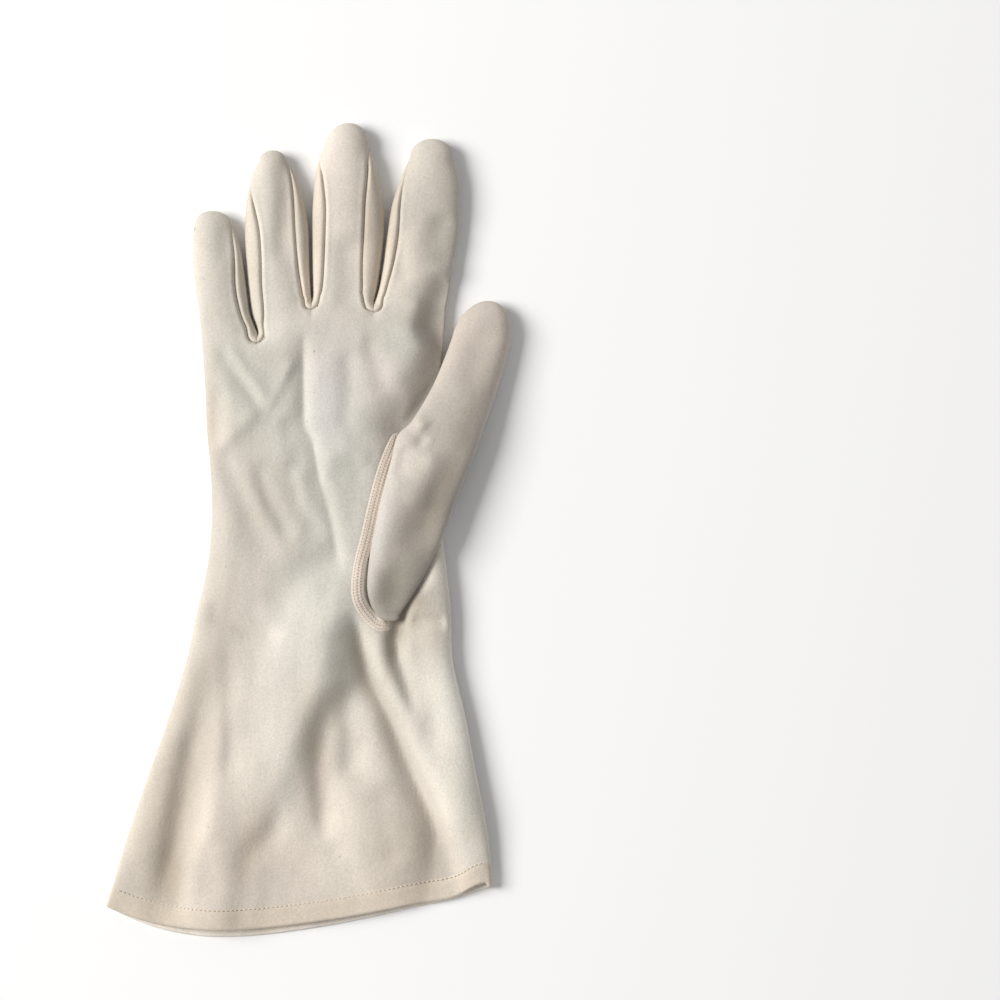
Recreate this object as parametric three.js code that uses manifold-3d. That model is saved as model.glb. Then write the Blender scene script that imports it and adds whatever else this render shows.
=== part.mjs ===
// Dress glove: a short gauntlet glove of thin knit cloth, lying flat with its palm side up.
// Millimetres, +Z up. The fingers point along +Y and the thumb lies towards +X.
// The origin is on the surface that the glove lies on, under the middle of its footprint.
// The glove is sewn from a trank (palm, back and the finger panels in one piece), six fourchettes
// (the strips along the sides of the fingers) and a thumb, and every piece is a hollow wall of cloth.

import * as THREE from 'three';
import { mergeVertices } from 'three/addons/utils/BufferGeometryUtils.js';
import Module from 'manifold-3d';

// Driving dimensions
const CLOTH = 1.0; // wall of the cloth
const HEM_CLOTH = 2.0; // the hem is turned up once, so its wall is double
const SEAM_GAP = 0.35; // clearance between two panels that are sewn together
const EDGE_HEIGHT = 4.3; // height of the fold where palm and back meet
const BACK_ROUNDING = 5; // distance over which the back curves from that fold to the surface
const PALM_ROUNDING = 14; // distance over which the palm curves up from the fold
const FINGER_ROUNDING = 9;
const FINGERS_FROM = 60; // between these two lengths one rounding passes into the other
const FINGERS_FULL = 88;
const BACK_BOW = 1.14; // the back's hem bows further out than the palm's, by this factor
const BOW_POWER = 2.4; // how squarely a row bows
const BOW_SKEW = 0.55; // and how much more on the left than on the right
const HEM_ROWS = 2; // rows of the net with the hem's double wall
const ROW_PITCH = 6.5; // spacing of the net along the glove
const COLUMNS = [6, 5, 6, 6]; // spacing of the net across each finger's share of the palm
const SIDE_CROWDING = 1.35; // the outer columns crowd towards the folds by this power
const CAP_ROWS = 3; // rows round a fingertip
const STRIP_COLUMNS = 3; // columns of a fourchette from its seam to the side of the finger
const STRIP_ROOT = 1.7; // a fourchette starts this far above the bottom of its slot
const STRIP_TAPER = 0.8; // and its point fills this share of the slot's last stretch
const STRIP_POINT = 0.4; // wall of that point

// Heights of the palm side above the surface, along the glove
const CROWN = table(['y', 'height'],
  [-170, 9.3],
  [-95, 9.6],
  [-35, 9.4],
  [5, 10.6],
  [45, 10.6],
  [80, 10.0],
  [170, 10.2],
);

// Outline of the hand from the hem to the knuckles: the left and the right side, and how far
// the row between them bows towards the hem
const HAND = table(['leftX', 'leftY', 'rightX', 'rightY', 'bow'],
  [-75.8, -141.4, 68.9, -134.2, 10.3],
  [-73.6, -134.6, 68.7, -127.5, 9.0],
  [-67.6, -115.1, 67.0, -112.5, 6.8],
  [-60.5, -94.5, 63.1, -92.6, 4.5],
  [-52.6, -72.0, 59.2, -72.0, 3.0],
  [-45.8, -50.2, 54.3, -50.2, 1.9],
  [-41.7, -31.5, 53.5, -31.5, 1.1],
  [-38.0, -15.8, 52.0, -16.5, 0],
  [-36.3, -0.8, 50.5, -3.8, 0],
  [-36.1, 10.5, 49.4, 10.5, 0],
  [-36.8, 23.6, 48.7, 25.5, 0],
  [-38.0, 36.8, 48.7, 40.5, 0],
  [-38.5, 49.9, 49.4, 55.5, 0],
  [-39.5, 64.9, 50.5, 68.6, 0],
);

// Ends of the row of knuckles: the two sides, and between them the bottom of each slot that
// the fourchettes fill, with the crotch where two fingers part
const ROOTS = table(['x', 'y', 'share', 'crotchX', 'crotchY'],
  [-40.2, 74.2, 0, -40.2, 74.2],
  [-19.0, 69.0, 0.23, -18.8, 72.8],
  [1.4, 81.8, 0.455, 1.4, 85.5],
  [24.7, 80.6, 0.71, 24.7, 84.4],
  [51.5, 81.8, 1, 51.5, 81.8],
);

// Outline of each finger from root to tip, with the visible width of the fourchette on each side
const STATION = ['leftX', 'leftY', 'rightX', 'rightY', 'leftStrip', 'rightStrip'];
const FINGERS = [
  { // little finger
    tip: [-35.9, 118.9],
    rows: table(STATION,
      [-40.6, 77.2, -20.0, 75.4, 0, 3.4],
      [-41.2, 82.5, -22.0, 81.0, 0, 3.6],
      [-42.5, 91.1, -23.2, 90.0, 0, 4.1],
      [-43.2, 102.4, -24.8, 101.6, 0, 2.9],
      [-43.2, 109.9, -26.9, 109.5, 0, 1.6],
      [-42.4, 113.8, -28.6, 113.8, 0, 0],
    ),
  },
  { // ring finger
    tip: [-13.2, 141.6],
    rows: table(STATION,
      [-19.3, 75.5, 1.0, 87.5, 3.2, 3.1],
      [-21.0, 80.5, 0.8, 91.1, 5.1, 3.7],
      [-22.3, 90.0, 0.5, 97.5, 5.5, 4.3],
      [-23.3, 100.9, 0.4, 104.5, 6.1, 4.8],
      [-23.7, 111.8, 0.0, 113.0, 5.6, 5.0],
      [-23.0, 123.0, -1.8, 123.0, 2.4, 3.7],
      [-21.8, 129.0, -3.6, 129.0, 0, 2.5],
      [-20.4, 133.8, -5.6, 133.8, 0, 1.4],
      [-18.6, 137.2, -8.0, 137.2, 0, 0],
    ),
  },
  { // middle finger
    tip: [15.2, 151.9],
    rows: table(STATION,
      [1.8, 87.0, 25.0, 86.6, 2.9, 4.5],
      [1.7, 91.5, 25.9, 90.5, 4.0, 5.6],
      [1.5, 100.5, 27.3, 99.8, 4.8, 7.0],
      [1.4, 111.8, 28.4, 111.0, 5.3, 7.5],
      [1.6, 121.1, 28.2, 121.1, 5.2, 6.9],
      [2.7, 132.4, 26.2, 132.0, 2.8, 4.0],
      [4.0, 138.0, 24.6, 138.0, 0, 2.2],
      [5.7, 142.6, 22.8, 142.6, 0, 0],
    ),
  },
  { // index finger
    tip: [46.4, 146.0],
    rows: table(STATION,
      [25.6, 86.6, 52.2, 86.0, 3.0, 0],
      [26.9, 91.5, 53.2, 91.3, 3.3, 0],
      [28.3, 99.8, 54.5, 99.8, 4.1, 0],
      [29.6, 110.2, 56.2, 109.9, 4.5, 0],
      [31.4, 121.1, 56.9, 120.8, 3.4, 0],
      [34.4, 130.1, 56.7, 130.1, 1.6, 0],
      [38.2, 139.1, 54.5, 139.1, 0, 0],
    ),
  },
];

// A fourchette of its own name lies on each inner side of a finger
const FOURCHETTES = table(['name', 'finger', 'side'],
  ['fourchette_little', 0, 'right'],
  ['fourchette_ring_outer', 1, 'left'],
  ['fourchette_ring_inner', 1, 'right'],
  ['fourchette_middle_outer', 2, 'left'],
  ['fourchette_middle_inner', 2, 'right'],
  ['fourchette_index', 3, 'left'],
);

// Main folds of the palm side: the line that each follows, its half width and its rise
const FOLDS = [
  { width: 11, rise: 2.2, line: [[11, -12], [4, -42], [-9, -80], [-24, -113], [-32, -136]] },
  { width: 4.5, rise: -1.6, line: [[20, -42], [8, -80], [5, -113]] },
  { width: 6, rise: 1.5, line: [[24, -61], [30, -95], [33, -125]] },
  { width: 4.2, rise: -2.2, line: [[21, -42], [31, -65], [40, -95], [53, -127]] },
  { width: 5.5, rise: 1.5, line: [[29, -42], [44, -72], [55, -102], [64, -128]] },
  { width: 4.2, rise: 1.0, line: [[-45, -61], [-54, -89], [-59, -128]] },
  { width: 4.2, rise: -1.2, line: [[-38, -65], [-45, -91], [-49, -128]] },
  { width: 4.2, rise: -1.3, line: [[-4, 67], [-2, 48], [1, 25], [9, -3], [12, -12]] },
  { width: 4.2, rise: 0.8, line: [[-35, 74], [-17, 55]] },
  { width: 4.2, rise: -0.8, line: [[10, -8], [-14, -36]] },
];

// The thumb is a leaf that lies over the palm and reaches past its side: the outline, the height
// of its underside and of its crest, and how much higher its left side is than its right
const THUMB_BASE = [29.9, -35.2];
const THUMB_TIP = [67.9, 85.2];
const THUMB = table(['leftX', 'leftY', 'rightX', 'rightY', 'floor', 'crest', 'tilt'],
  [22.0, -22.5, 38.9, -24.8, 7.9, 13.2, 0.3],
  [23.2, -9.8, 43.4, -16.5, 7.9, 15.0, 0.6],
  [25.8, 3.9, 50.0, -4.5, 7.9, 15.8, 0.9],
  [28.6, 15.8, 54.3, 7.5, 7.9, 16.0, 1.2],
  [31.3, 25.7, 58.4, 18.0, 7.9, 16.0, 1.5],
  [33.7, 34.5, 62.2, 27.4, 7.8, 15.6, 1.8],
  [39.1, 40.1, 65.5, 36.4, 7.0, 14.8, 2.0],
  [46.3, 52.1, 69.7, 48.4, 4.6, 13.2, 2.0],
  [50.9, 63.0, 73.4, 60.0, 2.0, 11.8, 1.4],
  [53.9, 71.2, 75.7, 69.8, 0.4, 10.8, 0.4],
);
const THUMB_END_HEIGHT = { base: 10.0, tip: 4.4 };
const THUMB_EDGE = 0.42; // the leaf's side folds lie at this share of its height
const THUMB_SAG_POWER = 4; // how squarely its underside lies between them
const THUMB_COLUMNS = 8;
const BED_ROWS = 8; // the rows of the thumb that press on the palm
const BED_HEIGHT = 7.5; // the palm is pressed down to this height under them
const BED_SLOPE = 0.45; // and rises at this slope beside them
const BED_BLEND = 0.8; // softness of the line between bed and free palm

// The opening where the thumb joins the palm: an ellipse along the thumb
const THUMB_HOLE = { x: 36.3, y: -2.6, length: 44, width: 15, turn: -0.324, from: 3, to: 10.8 };

const CLOTH_COLOUR = 0xe0d8ca;
const FOURCHETTE_COLOUR = 0xd8ccbc;
const THUMB_COLOUR = 0xd5ccbf;

// Rows of values as objects with named columns
function table(columns, ...rows) {
  return rows.map((row) => Object.fromEntries(columns.map((name, i) => [name, row[i]])));
}

function mix(a, b, t) {
  return [a[0] + (b[0] - a[0]) * t, a[1] + (b[1] - a[1]) * t];
}

function distance(a, b) {
  return Math.hypot(b[0] - a[0], b[1] - a[1]);
}

// Distance from a point to a line of points, and where along the line the nearest point is
function nearest(line, x, y) {
  let best = { distance: Infinity, at: 0 };
  for (let i = 0; i + 1 < line.length; i += 1) {
    const [ax, ay] = line[i];
    const [dx, dy] = [line[i + 1][0] - ax, line[i + 1][1] - ay];
    const along = ((x - ax) * dx + (y - ay) * dy) / (dx * dx + dy * dy);
    const t = THREE.MathUtils.clamp(along, 0, 1);
    const away = Math.hypot(x - ax - dx * t, y - ay - dy * t);
    if (away < best.distance) best = { distance: away, at: i + t };
  }
  return best;
}

// Points at even parameters on a smooth curve through the given points. The first and the last
// point only steer the ends. steps says how many points each stretch between two of them gets.
function smoothLine(points, steps) {
  const curve = new THREE.CatmullRomCurve3(
    points.map(([x, y]) => new THREE.Vector3(x, y, 0)), false, 'catmullrom', 0.5);
  const result = [];
  steps.forEach((count, i) => {
    for (let k = 0; k < count; k += 1) {
      const at = curve.getPoint((1 + i + k / count) / (points.length - 1));
      result.push([at.x, at.y]);
    }
  });
  result.push(points[points.length - 2]);
  return result;
}

function mirrored(point, centre) {
  return [2 * centre[0] - point[0], 2 * centre[1] - point[1]];
}

// The row of the hand at a share of its width, bowed towards the hem
function handPoint(row, share, bowFactor) {
  const across = 2 * share - 1;
  const bow = row.bow * bowFactor * (1 - Math.abs(across) ** BOW_POWER) * (1 - BOW_SKEW * across);
  const [x, y] = mix([row.leftX, row.leftY], [row.rightX, row.rightY], share);
  return [x, y - bow];
}

const outlineLeft = (row) => [row.leftX, row.leftY];
const outlineRight = (row) => [row.rightX, row.rightY];

// A point of a finger's panel, between the seams of its two fourchettes
function panelPoint(row, share) {
  const left = outlineLeft(row);
  const right = outlineRight(row);
  const width = distance(left, right);
  const seamLeft = mix(left, right, row.leftStrip / width);
  const seamRight = mix(right, left, row.rightStrip / width);
  return mix(seamLeft, seamRight, share);
}

function rootPoint(finger, share) {
  const [a, b] = [ROOTS[finger], ROOTS[finger + 1]];
  return mix([a.x, a.y], [b.x, b.y], share);
}

// How many rows of the net each stretch of the glove gets
function stepsBetween(rows) {
  const centres = rows.map((row) => mix(outlineLeft(row), outlineRight(row), 0.5));
  return centres.slice(1).map((point, i) => {
    return Math.max(1, Math.round(distance(centres[i], point) / ROW_PITCH));
  });
}

function knuckleRow(finger) {
  const [a, b] = [ROOTS[finger], ROOTS[finger + 1]];
  return { leftX: a.crotchX, leftY: a.crotchY, rightX: b.crotchX, rightY: b.crotchY };
}

const HAND_STEPS = [...stepsBetween(HAND), 1];
const FINGER_STEPS = FINGERS.map((finger, k) => stepsBetween([knuckleRow(k), ...finger.rows]));

// One column of the hand's net, from the hem to the row of knuckles
function handColumn(finger, share, bowFactor) {
  const [a, b] = [ROOTS[finger], ROOTS[finger + 1]];
  const across = a.share + (b.share - a.share) * share;
  const points = HAND.map((row) => handPoint(row, across, bowFactor));
  const root = rootPoint(finger, share);
  const beyond = panelPoint(FINGERS[finger].rows[0], share);
  return smoothLine([mirrored(points[1], points[0]), ...points, root, beyond], HAND_STEPS);
}

// One line along a finger from its root to the last station, given by its point at each station
function fingerLine(finger, before, root, pointAt) {
  const points = FINGERS[finger].rows.map(pointAt);
  const end = mirrored(points[points.length - 2], points[points.length - 1]);
  return smoothLine([before, root, ...points, end], FINGER_STEPS[finger]);
}

// The rows that round off the tip, narrowing as a half ellipse
function capLine(finger, share) {
  const { rows, tip } = FINGERS[finger];
  const last = rows[rows.length - 1];
  const left = outlineLeft(last);
  const right = outlineRight(last);
  const line = [];
  for (let i = 1; i <= CAP_ROWS; i += 1) {
    const turn = (i / CAP_ROWS) * Math.PI / 2;
    const centre = mix(mix(left, right, 0.5), tip, Math.sin(turn));
    const narrow = i === CAP_ROWS ? 0 : Math.cos(turn) * (share - 0.5);
    line.push([centre[0] + (right[0] - left[0]) * narrow, centre[1] + (right[1] - left[1]) * narrow]);
  }
  return line;
}

function panelColumn(finger, share, bowFactor) {
  const column = handColumn(finger, share, bowFactor);
  const before = column[column.length - 2];
  const line = fingerLine(finger, before, rootPoint(finger, share), (row) => panelPoint(row, share));
  return [...line, ...capLine(finger, share)];
}

// The side of a finger, from the crotch to the last station
function fingerSide(finger, side) {
  const root = ROOTS[side === 'left' ? finger : finger + 1];
  const crotch = [root.crotchX, root.crotchY];
  return fingerLine(finger, [root.x, root.y], crotch, side === 'left' ? outlineLeft : outlineRight);
}

// The whole outline, past the hem as well, where the glove stays open
function outline() {
  const pastHem = (side) => mirrored(side[side.length - 1], side[0]);
  const left = handColumn(0, 0, 1);
  const right = handColumn(FINGERS.length - 1, 1, 1);
  const line = [pastHem(left), ...left];
  FINGERS.forEach((finger, k) => {
    line.push(...fingerSide(k, 'left'), ...capLine(k, 0), ...capLine(k, 1).reverse());
    line.push(...fingerSide(k, 'right').reverse());
  });
  return [...line, ...right.reverse(), pastHem(handColumn(FINGERS.length - 1, 1, 1))];
}

const OUTLINE = outline();

// Part of the sum over one stretch of the outline, for a reach along it and a distance off it
function reachTerm(reach, off) {
  return reach / (2 * off ** 2 * (reach ** 2 + off ** 2)) + Math.atan(reach / off) / (2 * off ** 3);
}

// Distance to the outline, with no ridge where two sides are equally near
function softDistance(x, y) {
  const smallest = 0.02;
  let sum = 0;
  for (let i = 0; i + 1 < OUTLINE.length; i += 1) {
    const [ax, ay] = OUTLINE[i];
    const length = distance(OUTLINE[i], OUTLINE[i + 1]);
    if (length < smallest) continue;
    const [ux, uy] = [(OUTLINE[i + 1][0] - ax) / length, (OUTLINE[i + 1][1] - ay) / length];
    const along = (x - ax) * ux + (y - ay) * uy;
    const off = Math.max(Math.abs((x - ax) * uy - (y - ay) * ux), smallest);
    sum += reachTerm(along, off) + reachTerm(length - along, off);
  }
  return Math.cbrt(Math.PI / 2 / sum);
}

// Quarter round from 0 to 1
function shoulder(t) {
  return Math.sqrt(1 - (1 - THREE.MathUtils.clamp(t, 0, 1)) ** 2);
}

function crownAt(y) {
  const next = CROWN.findIndex((row) => row.y > y);
  const [a, b] = [CROWN[next - 1], CROWN[next]];
  return a.height + (b.height - a.height) * THREE.MathUtils.smoothstep(y, a.y, b.y);
}

function foldRise(x, y) {
  return FOLDS.reduce((sum, fold) => {
    const off = nearest(fold.line, x, y).distance / fold.width;
    return sum + fold.rise * Math.exp(-off * off / 2);
  }, 0);
}

// Highest that the palm may be under and beside the thumb
function thumbBed(x, y) {
  const rows = THUMB.slice(0, BED_ROWS);
  const axis = rows.map((row) => mix(outlineLeft(row), outlineRight(row), 0.5));
  const { distance: away, at } = nearest(axis, x, y);
  const row = rows[Math.round(at)];
  const halfWidth = distance(outlineLeft(row), outlineRight(row)) / 2;
  return BED_HEIGHT + BED_SLOPE * Math.max(0, away - halfWidth);
}

function softMin(a, b, blend) {
  return (a + b - Math.hypot(a - b, blend)) / 2;
}

function topHeight(x, y) {
  const fingers = THREE.MathUtils.smoothstep(y, FINGERS_FROM, FINGERS_FULL);
  const rounding = PALM_ROUNDING + (FINGER_ROUNDING - PALM_ROUNDING) * fingers;
  const rise = crownAt(y) - EDGE_HEIGHT + foldRise(x, y);
  const free = EDGE_HEIGHT + rise * shoulder(softDistance(x, y) / rounding);
  return softMin(free, thumbBed(x, y), BED_BLEND);
}

function backHeight(x, y) {
  return EDGE_HEIGHT * (1 - shoulder(softDistance(x, y) / BACK_ROUNDING));
}

// Direction straight out of a height field, upwards or downwards
function outOf(height, x, y, sign) {
  const step = 0.2;
  const slopeX = (height(x + step, y) - height(x - step, y)) / (2 * step);
  const slopeY = (height(x, y + step) - height(x, y - step)) / (2 * step);
  return new THREE.Vector3(-slopeX * sign, -slopeY * sign, sign).normalize();
}

// A sheet of cloth: the points of its outer face, the way out of the cloth at each, its wall
// there, and triangles that face out
class Sheet {
  constructor() {
    this.points = [];
    this.normals = [];
    this.walls = [];
    this.faces = [];
  }

  add(point, normal, wall) {
    this.points.push(point);
    this.normals.push(normal);
    this.walls.push(wall);
    return this.points.length - 1;
  }

  top([x, y], wall) {
    return this.add(new THREE.Vector3(x, y, topHeight(x, y)), outOf(topHeight, x, y, 1), wall);
  }

  back([x, y], wall) {
    return this.add(new THREE.Vector3(x, y, backHeight(x, y)), outOf(backHeight, x, y, -1), wall);
  }

  // A point on the fold between palm and back, on the given side of the line that runs there
  edge([x, y], ahead, side, wall) {
    const way = new THREE.Vector3(ahead[1], -ahead[0], 0).multiplyScalar(side === 'left' ? -1 : 1);
    return this.add(new THREE.Vector3(x, y, EDGE_HEIGHT), way.normalize(), wall);
  }

  triangle(a, b, c) {
    if (a !== b && b !== c && c !== a) this.faces.push([a, b, c]);
  }

  // Fills the net between columns of point numbers, seen from outside left to right
  net(columns) {
    for (let i = 0; i + 1 < columns.length; i += 1) {
      for (let j = 0; j + 1 < columns[i].length; j += 1) {
        const [a, b] = [columns[i][j], columns[i + 1][j]];
        const [d, c] = [columns[i][j + 1], columns[i + 1][j + 1]];
        this.triangle(a, b, c);
        this.triangle(a, c, d);
      }
    }
  }

  inner() {
    return this.points.map((point, i) => {
      return point.clone().addScaledVector(this.normals[i], -this.walls[i]);
    });
  }
}

// The closed body of a sheet: outer face, inner face, and a rim along every free edge
function thicken(sheet) {
  const count = sheet.points.length;
  const edges = new Set();
  sheet.faces.forEach(([a, b, c]) => [[a, b], [b, c], [c, a]].forEach((e) => edges.add(e.join())));
  const faces = [...sheet.faces];
  sheet.faces.forEach(([a, b, c]) => faces.push([a + count, c + count, b + count]));
  edges.forEach((edge) => {
    const [a, b] = edge.split(',').map(Number);
    if (edges.has([b, a].join())) return;
    faces.push([b, a, a + count], [b, a + count, b + count]);
  });
  return geometryOf([...sheet.points, ...sheet.inner()], faces);
}

function geometryOf(points, faces) {
  const geometry = new THREE.BufferGeometry();
  geometry.setAttribute('position', new THREE.Float32BufferAttribute(
    points.flatMap((p) => [p.x, p.y, p.z]), 3));
  geometry.setIndex(faces.flat());
  return geometry;
}

// Direction along a line of points at one of them
function ahead(line, i) {
  const a = line[Math.max(i - 1, 0)];
  const b = line[Math.min(i + 1, line.length - 1)];
  return [b[0] - a[0], b[1] - a[1]];
}

// Shares across one finger's part of the palm, crowded towards the folds at the two sides
function columnShares(finger) {
  const count = COLUMNS[finger];
  return Array.from({ length: count + 1 }, (_, i) => {
    const even = i / count;
    if (finger === 0) return even ** SIDE_CROWDING;
    if (finger === FINGERS.length - 1) return 1 - (1 - even) ** SIDE_CROWDING;
    return even;
  });
}

// The last row of the net where a fourchette still lies beside the panel
function stripEnd(finger, side) {
  const widths = FINGERS[finger].rows.map((row) => (side === 'left' ? row.leftStrip : row.rightStrip));
  const last = widths.findLastIndex((width) => width > 0);
  return FINGER_STEPS[finger].slice(0, last + 1).reduce((sum, steps) => sum + steps, 0);
}

// The hand's net: the hem's two rows are double cloth, and the sides of palm and back are folds
function addHand(sheet) {
  const layers = { top: [], back: [] };
  FINGERS.forEach((_, finger) => {
    columnShares(finger).forEach((share, i) => {
      if (finger > 0 && i === 0) return;
      const isLeft = finger === 0 && i === 0;
      const isRight = finger === FINGERS.length - 1 && share === 1;
      const wallAt = (j) => (j < HEM_ROWS ? HEM_CLOTH : CLOTH);
      const line = handColumn(finger, share, 1);
      if (isLeft || isRight) {
        const side = isLeft ? 'left' : 'right';
        const fold = line.map((point, j) => sheet.edge(point, ahead(line, j), side, wallAt(j)));
        layers.top.push(fold);
        layers.back.push(fold);
        return;
      }
      const backLine = handColumn(finger, share, BACK_BOW);
      layers.top.push(line.map((point, j) => sheet.top(point, wallAt(j))));
      layers.back.push(backLine.map((point, j) => sheet.back(point, wallAt(j))));
    });
  });
  sheet.net(layers.top);
  sheet.net([...layers.back].reverse());
  return layers;
}

// One finger's two panels, joined round the tip and wherever no fourchette lies between them
function addFinger(sheet, finger, roots, firstColumn) {
  const shares = columnShares(finger);
  const { rows, tip } = FINGERS[finger];
  const lastRow = rows[rows.length - 1];
  const middle = mix(outlineLeft(lastRow), outlineRight(lastRow), 0.5);
  const tipAhead = [middle[1] - tip[1], tip[0] - middle[0]];
  const tipPoint = sheet.edge(tip, tipAhead, 'right', CLOTH);
  const layers = { top: [], back: [] };
  shares.forEach((share, i) => {
    const line = panelColumn(finger, share, 1);
    const side = i === 0 ? 'left' : 'right';
    const isSide = i === 0 || i === shares.length - 1;
    const isFold = (i === 0 && finger === 0) || (share === 1 && finger === FINGERS.length - 1);
    const foldFrom = isFold ? 0 : stripEnd(finger, side) + 1;
    const top = [roots.top[firstColumn + i]];
    const back = [roots.back[firstColumn + i]];
    for (let j = 1; j + 1 < line.length; j += 1) {
      if (isSide && j >= foldFrom) {
        top.push(sheet.edge(line[j], ahead(line, j), side, CLOTH));
        back.push(top[j]);
      } else {
        top.push(sheet.top(line[j], CLOTH));
        back.push(sheet.back(line[j], CLOTH));
      }
    }
    layers.top.push([...top, tipPoint]);
    layers.back.push([...back, tipPoint]);
  });
  sheet.net(layers.top);
  sheet.net([...layers.back].reverse());
}

function makeTrank() {
  const sheet = new Sheet();
  const hand = addHand(sheet);
  const roots = {
    top: hand.top.map((column) => column[column.length - 1]),
    back: hand.back.map((column) => column[column.length - 1]),
  };
  let column = 0;
  FINGERS.forEach((_, finger) => {
    addFinger(sheet, finger, roots, column);
    column += COLUMNS[finger];
  });
  return thicken(sheet);
}

// A fourchette: from the palm's seam round the side of the finger to the back's seam
function makeFourchette({ finger, side }) {
  const sheet = new Sheet();
  const isLeft = side === 'left';
  const seam = panelColumn(finger, isLeft ? 0 : 1, 1);
  const fold = fingerSide(finger, side);
  const sideways = isLeft ? 1 : -1;
  const end = stripEnd(finger, side);
  const layers = { top: [], back: [] };
  for (let column = 0; column < STRIP_COLUMNS; column += 1) {
    const share = column / STRIP_COLUMNS;
    const top = [];
    const back = [];
    for (let j = 0; j <= end; j += 1) {
      const width = distance(seam[j], fold[j]);
      const start = j === 0 ? STRIP_ROOT / width : SEAM_GAP / width;
      const clear = j === 0 ? SEAM_GAP * 0.8 * sideways : 0;
      const [x, y] = mix(seam[j], fold[j], start + (1 - start) * share);
      const wall = Math.min(CLOTH, width / 2);
      top.push(sheet.top([x + clear, y], wall));
      back.push(sheet.back([x + clear, y], wall));
    }
    layers.top.push(top);
    layers.back.push(back);
  }
  const edge = [];
  for (let j = 0; j <= end; j += 1) {
    const clear = j === 0 ? SEAM_GAP * 0.8 * sideways : 0;
    const wall = Math.min(CLOTH, distance(seam[j], fold[j]) / 2);
    edge.push(sheet.edge([fold[j][0] + clear, fold[j][1]], ahead(fold, j), side, wall));
  }
  const point = mix(fold[end], seam[end + 1], STRIP_TAPER);
  const tip = sheet.edge(point, ahead([fold[end], seam[end + 1]], 0), side, STRIP_POINT);
  const round = [...layers.top, edge, ...[...layers.back].reverse()];
  round.forEach((column) => column.push(tip));
  sheet.net(isLeft ? [...round].reverse() : round);
  return thicken(sheet);
}

// The thumb's section at one row: points from the left fold to the right one, above and below
function thumbRow(sheet, { left, right, floor, crest, tilt, forward }) {
  const edgeHeight = floor + (crest - floor) * THUMB_EDGE;
  const layers = { top: [], back: [] };
  for (let i = 0; i <= THUMB_COLUMNS; i += 1) {
    const across = -Math.cos((i / THUMB_COLUMNS) * Math.PI);
    const [x, y] = mix(left, right, (across + 1) / 2);
    const lean = -tilt * across;
    const bulge = Math.sqrt(Math.max(0, 1 - across ** 2));
    const sag = Math.max(0, 1 - across ** THUMB_SAG_POWER) ** (1 / THUMB_SAG_POWER);
    if (i === 0 || i === THUMB_COLUMNS) {
      const point = sheet.edge([x, y], forward, i === 0 ? 'left' : 'right', CLOTH);
      sheet.points[point].z = edgeHeight + lean;
      layers.top.push(point);
      layers.back.push(point);
    } else {
      const way = new THREE.Vector3(across, 0, bulge).normalize();
      const wayDown = new THREE.Vector3(across ** (THUMB_SAG_POWER - 1), 0, -sag).normalize();
      const up = edgeHeight + (crest - edgeHeight) * bulge + lean;
      const down = edgeHeight - (edgeHeight - floor) * sag + lean;
      layers.top.push(sheet.add(new THREE.Vector3(x, y, up), way, CLOTH));
      layers.back.push(sheet.add(new THREE.Vector3(x, y, down), wayDown, CLOTH));
    }
  }
  return layers;
}

// Rows of the thumb at its stations and round both ends
function thumbRows() {
  const stations = THUMB.map((row) => ({
    left: outlineLeft(row), right: outlineRight(row), floor: row.floor, crest: row.crest, tilt: row.tilt,
  }));
  const ends = { base: [], tip: [] };
  for (let i = 1; i < CAP_ROWS; i += 1) {
    const turn = (i / CAP_ROWS) * Math.PI / 2;
    ends.base.unshift(thumbEnd(stations[0], THUMB_BASE, THUMB_END_HEIGHT.base, turn));
    ends.tip.push(thumbEnd(stations[stations.length - 1], THUMB_TIP, THUMB_END_HEIGHT.tip, turn));
  }
  return [...ends.base, ...stations, ...ends.tip];
}

function thumbEnd({ left, right, floor, crest, tilt }, point, height, turn) {
  const centre = mix(mix(left, right, 0.5), point, Math.sin(turn));
  const [halfX, halfY] = [(right[0] - left[0]) / 2, (right[1] - left[1]) / 2];
  const narrow = Math.cos(turn);
  return {
    left: [centre[0] - halfX * narrow, centre[1] - halfY * narrow],
    right: [centre[0] + halfX * narrow, centre[1] + halfY * narrow],
    floor: height + (floor - height) * narrow,
    crest: height + (crest - height) * narrow,
    tilt: tilt * narrow,
  };
}

// The opening's prism, which cuts the palm's cloth and the thumb's underside alike
function holeTool(wasm) {
  const { x, y, length, width, turn, from, to } = THUMB_HOLE;
  const prism = new THREE.CylinderGeometry(0.5, 0.5, to - from, 28);
  prism.rotateX(Math.PI / 2);
  prism.scale(width, length, 1);
  prism.rotateZ(turn);
  prism.translate(x, y, (from + to) / 2);
  return solidOf(wasm, prism);
}

function solidOf(wasm, geometry) {
  const bare = geometry.clone();
  bare.deleteAttribute('normal');
  bare.deleteAttribute('uv');
  const merged = mergeVertices(bare, 1e-4);
  return new wasm.Manifold(new wasm.Mesh({
    numProp: 3,
    vertProperties: new Float32Array(merged.attributes.position.array),
    triVerts: new Uint32Array(merged.index.array),
  }));
}

function geometryFrom(solid) {
  const mesh = solid.getMesh();
  const geometry = new THREE.BufferGeometry();
  geometry.setAttribute('position', new THREE.BufferAttribute(new Float32Array(mesh.vertProperties), 3));
  geometry.setIndex(new THREE.BufferAttribute(new Uint32Array(mesh.triVerts), 1));
  return geometry;
}

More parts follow.
